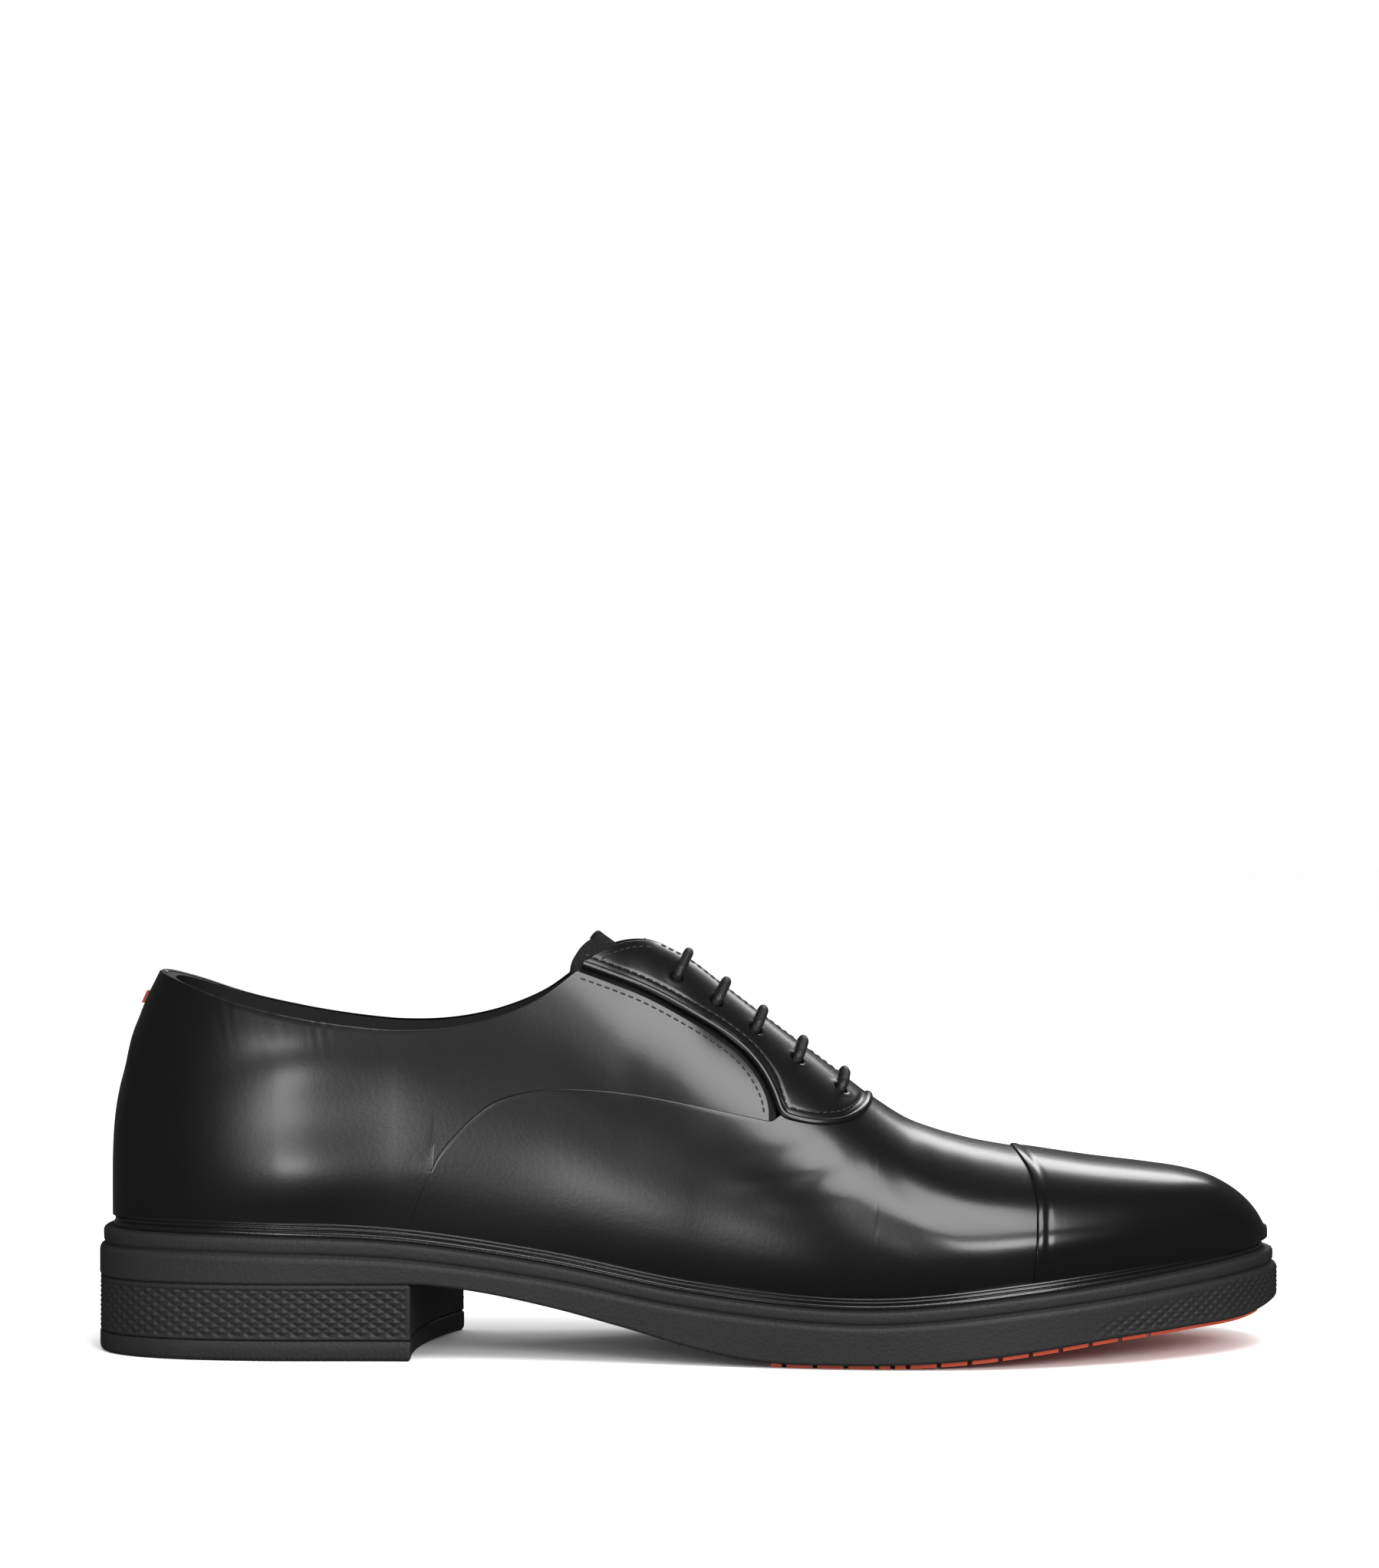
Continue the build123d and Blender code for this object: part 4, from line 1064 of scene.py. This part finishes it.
    def outsole(self) -> bpy.types.Object:
        """Outsole: lip, groove, grained side band and underside."""
        x = self.edge[:, 0]
        f, u = feather(x), underside(x)
        deep = self.deepening()
        lip = [(-9.0, -2.6), (-4.3, -2.85), (-2.4, -3.0), (-1.7, -3.1), (-1.25, -3.35), (-1.02, -3.75),
               (-0.98, -4.3), (-1.0, -5.1), (-1.04, -5.7), (-1.2, -6.1), (-1.65, -6.4), (-1.6, -6.62),
               (-0.95, -6.85), (-0.4, -7.15), (-0.12, -7.6)]
        profile = [(o, f + d * deep) for o, d in lip]
        arc = np.arange(len(x)) * np.linalg.norm(self.edge[1] - self.edge[0])
        patch = 1 / (1 + np.exp(-(x - 104) / 3.0))
        band_top = f - 8.1 * deep
        band_low = np.minimum(u + 0.7, band_top - 0.3)
        for t in np.linspace(0, 1, self.band_rows):
            z = band_top + (band_low - band_top) * t
            taper = np.clip((t - 0.12 + 0.5 * (x - 118) / 30) / 0.25, 0, 1)
            taper = taper * np.clip((0.97 - t) / 0.1, 0, 1)
            relief = self.band_knurl_height * (
                self.knurl(arc, z, *self.band_knurl) - 0.6) * patch * taper
            profile.append((relief, z))
        profile += [(-0.12, band_low - 0.3), (-0.4, band_low - 0.55), (-0.9, np.minimum(u, band_low - 0.6))]
        rows = self.ring(profile)
        inner = rows[-1]
        shrink = np.linspace(1, 0, 16)[1:]
        floor = np.array([np.column_stack([self.spine + (inner[:, :2] - self.spine) * k, inner[:, 2]])
                          for k in shrink])
        obj = self.swept("outsole_rubber", np.concatenate([rows, floor]), "sole")
        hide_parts("outsole")
        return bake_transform(obj)

    def heel_loop(self) -> Tuple[Array, Array, Array]:
        """Plan loop of the heel, its outward normals and a side-wall mask."""
        y = self.edge[:, 1]
        limit = np.where(y < 0, self.breast_lateral, self.breast_medial)
        keep = np.flatnonzero(self.edge[:, 0] < limit)
        start = keep[np.flatnonzero(np.diff(keep) > 1)[0] + 1] if np.any(np.diff(keep) > 1) else keep[0]
        order = np.roll(keep, -int(np.flatnonzero(keep == start)[0]))
        arc = self.edge[order]
        first, last = arc[0], arc[-1]
        t = np.linspace(0, 1, 60)[1:-1, None]
        bow = 4 * t * (1 - t)
        breast = last + (first - last) * t - np.array([[self.breast_bow, 0.0]]) * bow
        loop, out = self.even_loop(np.vstack([arc, breast]), self.heel_points)
        on_breast = np.min(np.linalg.norm(loop[:, None] - breast[None], axis=2), axis=1) < 1.0
        kernel = np.ones(9) / 9
        soft = np.column_stack([np.convolve(np.concatenate([loop[-4:, i], loop[:, i], loop[:4, i]]),
                                            kernel, "valid") for i in range(2)])
        along = unit(np.roll(soft, -2, axis=0) - np.roll(soft, 2, axis=0))
        out = np.column_stack([along[:, 1], -along[:, 0]])
        if np.sum(out * (soft - soft.mean(axis=0))) < 0:
            out = -out
        steps = np.subtract.outer(np.arange(self.heel_points), np.flatnonzero(on_breast))
        near = np.min(np.abs(steps), axis=1)
        near = np.minimum(near, self.heel_points - near)
        return soft, out, np.clip((near - 5) / 5.0, 0, 1)

    def heel(self) -> None:
        """Knurled heel block and plain top piece with a fine serrated edge."""
        loop, out, wall = self.heel_loop()
        steps = np.linalg.norm(np.roll(loop, -1, axis=0) - loop, axis=1)
        arc = np.concatenate([[0], np.cumsum(steps)[:-1]])
        centre = np.column_stack([loop[:, 0] * 0.5 - 52.0, loop[:, 1] * 0.05])

        def rows_of(profile: Sequence[Tuple[Array, float]]) -> Array:
            """Rows down the side, then rows drawn in to close the underside."""
            rows = [np.column_stack([loop + out * (o if np.isscalar(o) else o[:, None]),
                                     np.full(len(loop), z)]) for o, z in profile]
            edge = rows[-1]
            fill = [np.column_stack([centre + (edge[:, :2] - centre) * k, edge[:, 2]])
                    for k in np.linspace(1, 0.02, 8)[1:]]
            return np.array(rows + fill)

        def add(name: str, node: str, rows: Array) -> None:
            """Makes one piece of the heel with its faces outwards."""
            faces = grid_faces(rows.shape[0], rows.shape[1], wrap_cols=True)
            verts = rows.reshape(-1, 3)
            f = faces[(rows.shape[0] // 2) * rows.shape[1]]
            wanted = np.append(out[f[0] % len(loop)], 0)
            if np.dot(np.cross(verts[f[1]] - verts[f[0]], verts[f[2]] - verts[f[1]]), wanted) < 0:
                faces = faces[:, ::-1]
            obj = make_object(name, verts, faces, self.mats["sole"])
            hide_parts(node)
            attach(obj, REAR)

        block = [(-0.9, 19.6), (-0.55, 19.1), (-0.22, 18.85), (-0.2, 18.4)]
        for z in np.linspace(self.knurl_top, self.knurl_low, self.knurl_rows):
            fade = min(1.0, (self.knurl_top - z) / 0.4, (z - self.knurl_low) / 0.4)
            diamonds = self.heel_knurl_height * (self.knurl(arc, z, *self.heel_knurl) - 0.75) * fade
            relief = (diamonds - 0.2) * wall - 0.25 * (1 - wall)
            block.append((relief, z))
        block += [(-0.22, 5.7), (-0.25, 5.5), (-0.5, 5.28), (-0.9, 5.15)]
        add("heel_block_rubber", "heel_block", rows_of(block))
        teeth = self.tooth_depth * (np.sin(arc * 2 * math.pi / self.tooth_pitch) > 0) * wall
        lift = [(-0.8, 5.15), (-0.35, 5.0), (-0.12, 4.6), (-0.1, 3.0), (-0.12, 1.2),
                (-0.25 - 0.3 * teeth, 0.7),
                (-0.6 - teeth, 0.25), (-1.2 - teeth, 0.0)]
        add("heel_top_piece_rubber", "heel_top_piece", rows_of(lift))

    def build(self) -> None:
        """Builds every piece of the sole."""
        self.rand()
        self.outsole()
        self.heel()


# ------------------------------------------------------------------ kept nodes
RIGID_NODES = {
    "toe_puff": "fibre", "heel_counter": "fibre", "quarter_lining_lateral": "lining",
    "quarter_lining_medial": "lining", "heel_lining": "lining", "gore_lateral": "textile",
    "gore_medial": "textile", "facing_backing_lateral": "backing", "facing_backing_medial": "backing",
    "blind_eyelets": "lacquer", "tongue": "calf", "tongue_lining": "lining", "back_tab": "tab",
    "tread_rear": "tread", "tread_front": "tread", "heel_cushion": "foam", "shank": "steel",
}
BENDING_NODES = {
    "vamp_backing": "backing", "vamp_lining": "lining", "insole_board": "board",
    "footbed": "foam", "sock": "lining", "filler": "cork",
}


@dataclass
class Interior:
    """Linings, stiffeners, inner sole and tread, kept as they are."""

    frame: dict
    mats: dict

    def rigid(self, node: str, finish: str) -> None:
        """Gives a solid that doesn't bend its finish."""
        obj = self.frame["nodes"][node]
        obj.data.materials.clear()
        obj.data.materials.append(self.mats[finish])
        LOG.info("%s: finish %s", node, finish)

    def bending(self, node: str, finish: str) -> None:
        """Copies a solid that bends at the ball, with its finish."""
        source = self.frame["nodes"][node]
        mesh = source.data.copy()
        mesh.name = f"{node}_soft"
        mesh.transform(source.matrix_world)
        mesh.materials.clear()
        mesh.materials.append(self.mats[finish])
        obj = bpy.data.objects.new(f"{node}_soft", mesh)
        bpy.context.collection.objects.link(obj)
        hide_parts(node)
        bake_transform(obj)
        LOG.info("%s: finish %s", obj.name, finish)

    def build(self) -> None:
        """Dresses every piece inside the shoe."""
        for node, finish in RIGID_NODES.items():
            self.rigid(node, finish)
        for node, finish in BENDING_NODES.items():
            self.bending(node, finish)


# ------------------------------------------------------------------ studio
@dataclass(frozen=True)
class Softbox:
    """Rectangular light: compass angle from the viewer, height angle, reach, size, power."""

    name: str
    turn: float
    lift: float
    reach: float
    size: Tuple[float, float]
    power: float
    aim: Tuple[float, float, float] = (0.0, 0.0, 0.05)


ROOM_GLOW = 0.06
FLOOR_GLOW = 1.15
LIGHTS = (
    Softbox("high_box", 24, 60, 1.3, (0.75, 0.85), 17, (0.03, 0, 0.06)),
    Softbox("low_box", 20, 23, 1.3, (0.60, 0.36), 10, (0.07, 0, 0.03)),
    Softbox("heel_box", -9, -1, 0.35, (0.06, 0.05), 0.14, (-0.10, 0, 0.055)),
    Softbox("collar_box", -14, 13, 0.50, (0.12, 0.05), 0.20, (-0.10, 0, 0.08)),
    Softbox("rear_box", 168, 27, 1.3, (0.55, 0.32), 2.6, (0.0, 0, 0.09)),
)


def area_light(box: Softbox) -> bpy.types.Object:
    """Soft light at its place, turned towards its aim."""
    light = bpy.data.lights.new(box.name, "AREA")
    light.shape = "RECTANGLE"
    light.size, light.size_y = box.size
    light.energy = box.power
    turn, lift = math.radians(box.turn), math.radians(box.lift)
    away = Vector((math.sin(turn) * math.cos(lift), -math.cos(turn) * math.cos(lift), math.sin(lift)))
    obj = bpy.data.objects.new(box.name, light)
    obj.location = Vector(box.aim) + away * box.reach
    obj.rotation_euler = away.to_track_quat("Z", "Y").to_euler()
    obj.visible_camera = False
    bpy.context.collection.objects.link(obj)
    return obj


def studio() -> None:
    """Camera, pale floor and soft lights."""
    camera = bpy.data.cameras.new("camera")
    camera.lens = 95.8
    camera.sensor_width = 36.0
    view = bpy.data.objects.new("camera", camera)
    view.location = (-0.0003, -1.080, 0.145)
    view.rotation_euler = (math.pi / 2, 0, 0)
    bpy.context.collection.objects.link(view)
    bpy.context.scene.camera = view

    shader = Shader("paper")
    shader.put("Base Color", (0.9, 0.9, 0.9, 1))
    shader.put("Roughness", 0.9)
    shader.put("Specular IOR Level", 0.1)
    size = 6000.0
    verts = np.array([(-size, -size, 0), (size, -size, 0), (size, size, 0), (-size, size, 0)])
    floor = make_object("floor", verts, np.array([[0, 1, 2, 3]]), shader.material)
    floor.visible_glossy = False

    world = bpy.data.worlds.new("world")
    world.use_nodes = True
    tree = world.node_tree
    path = tree.nodes.new("ShaderNodeLightPath")
    camera_ray = Sock(tree, path.outputs["Is Camera Ray"])
    diffuse_ray = Sock(tree, path.outputs["Is Diffuse Ray"])
    strength = camera_ray * (1.02 - ROOM_GLOW) + diffuse_ray * (FLOOR_GLOW - ROOM_GLOW) + ROOM_GLOW
    back = tree.nodes["Background"]
    back.inputs[0].default_value = (1, 1, 1, 1)
    tree.links.new(strength.socket, back.inputs[1])
    bpy.context.scene.world = world
    bpy.context.scene.view_settings.view_transform = "Standard"
    for light in LIGHTS:
        area_light(light)


def main() -> None:
    """Builds the shoe with its finishes, and the studio."""
    logging.basicConfig(level=logging.INFO)
    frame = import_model()
    mats = {name: build_material(finish) for name, finish in FINISHES.items()}
    Upper(mats).build()
    Sole(mats).build()
    Interior(frame, mats).build()
    studio()


if __name__ == "__main__":
    main()
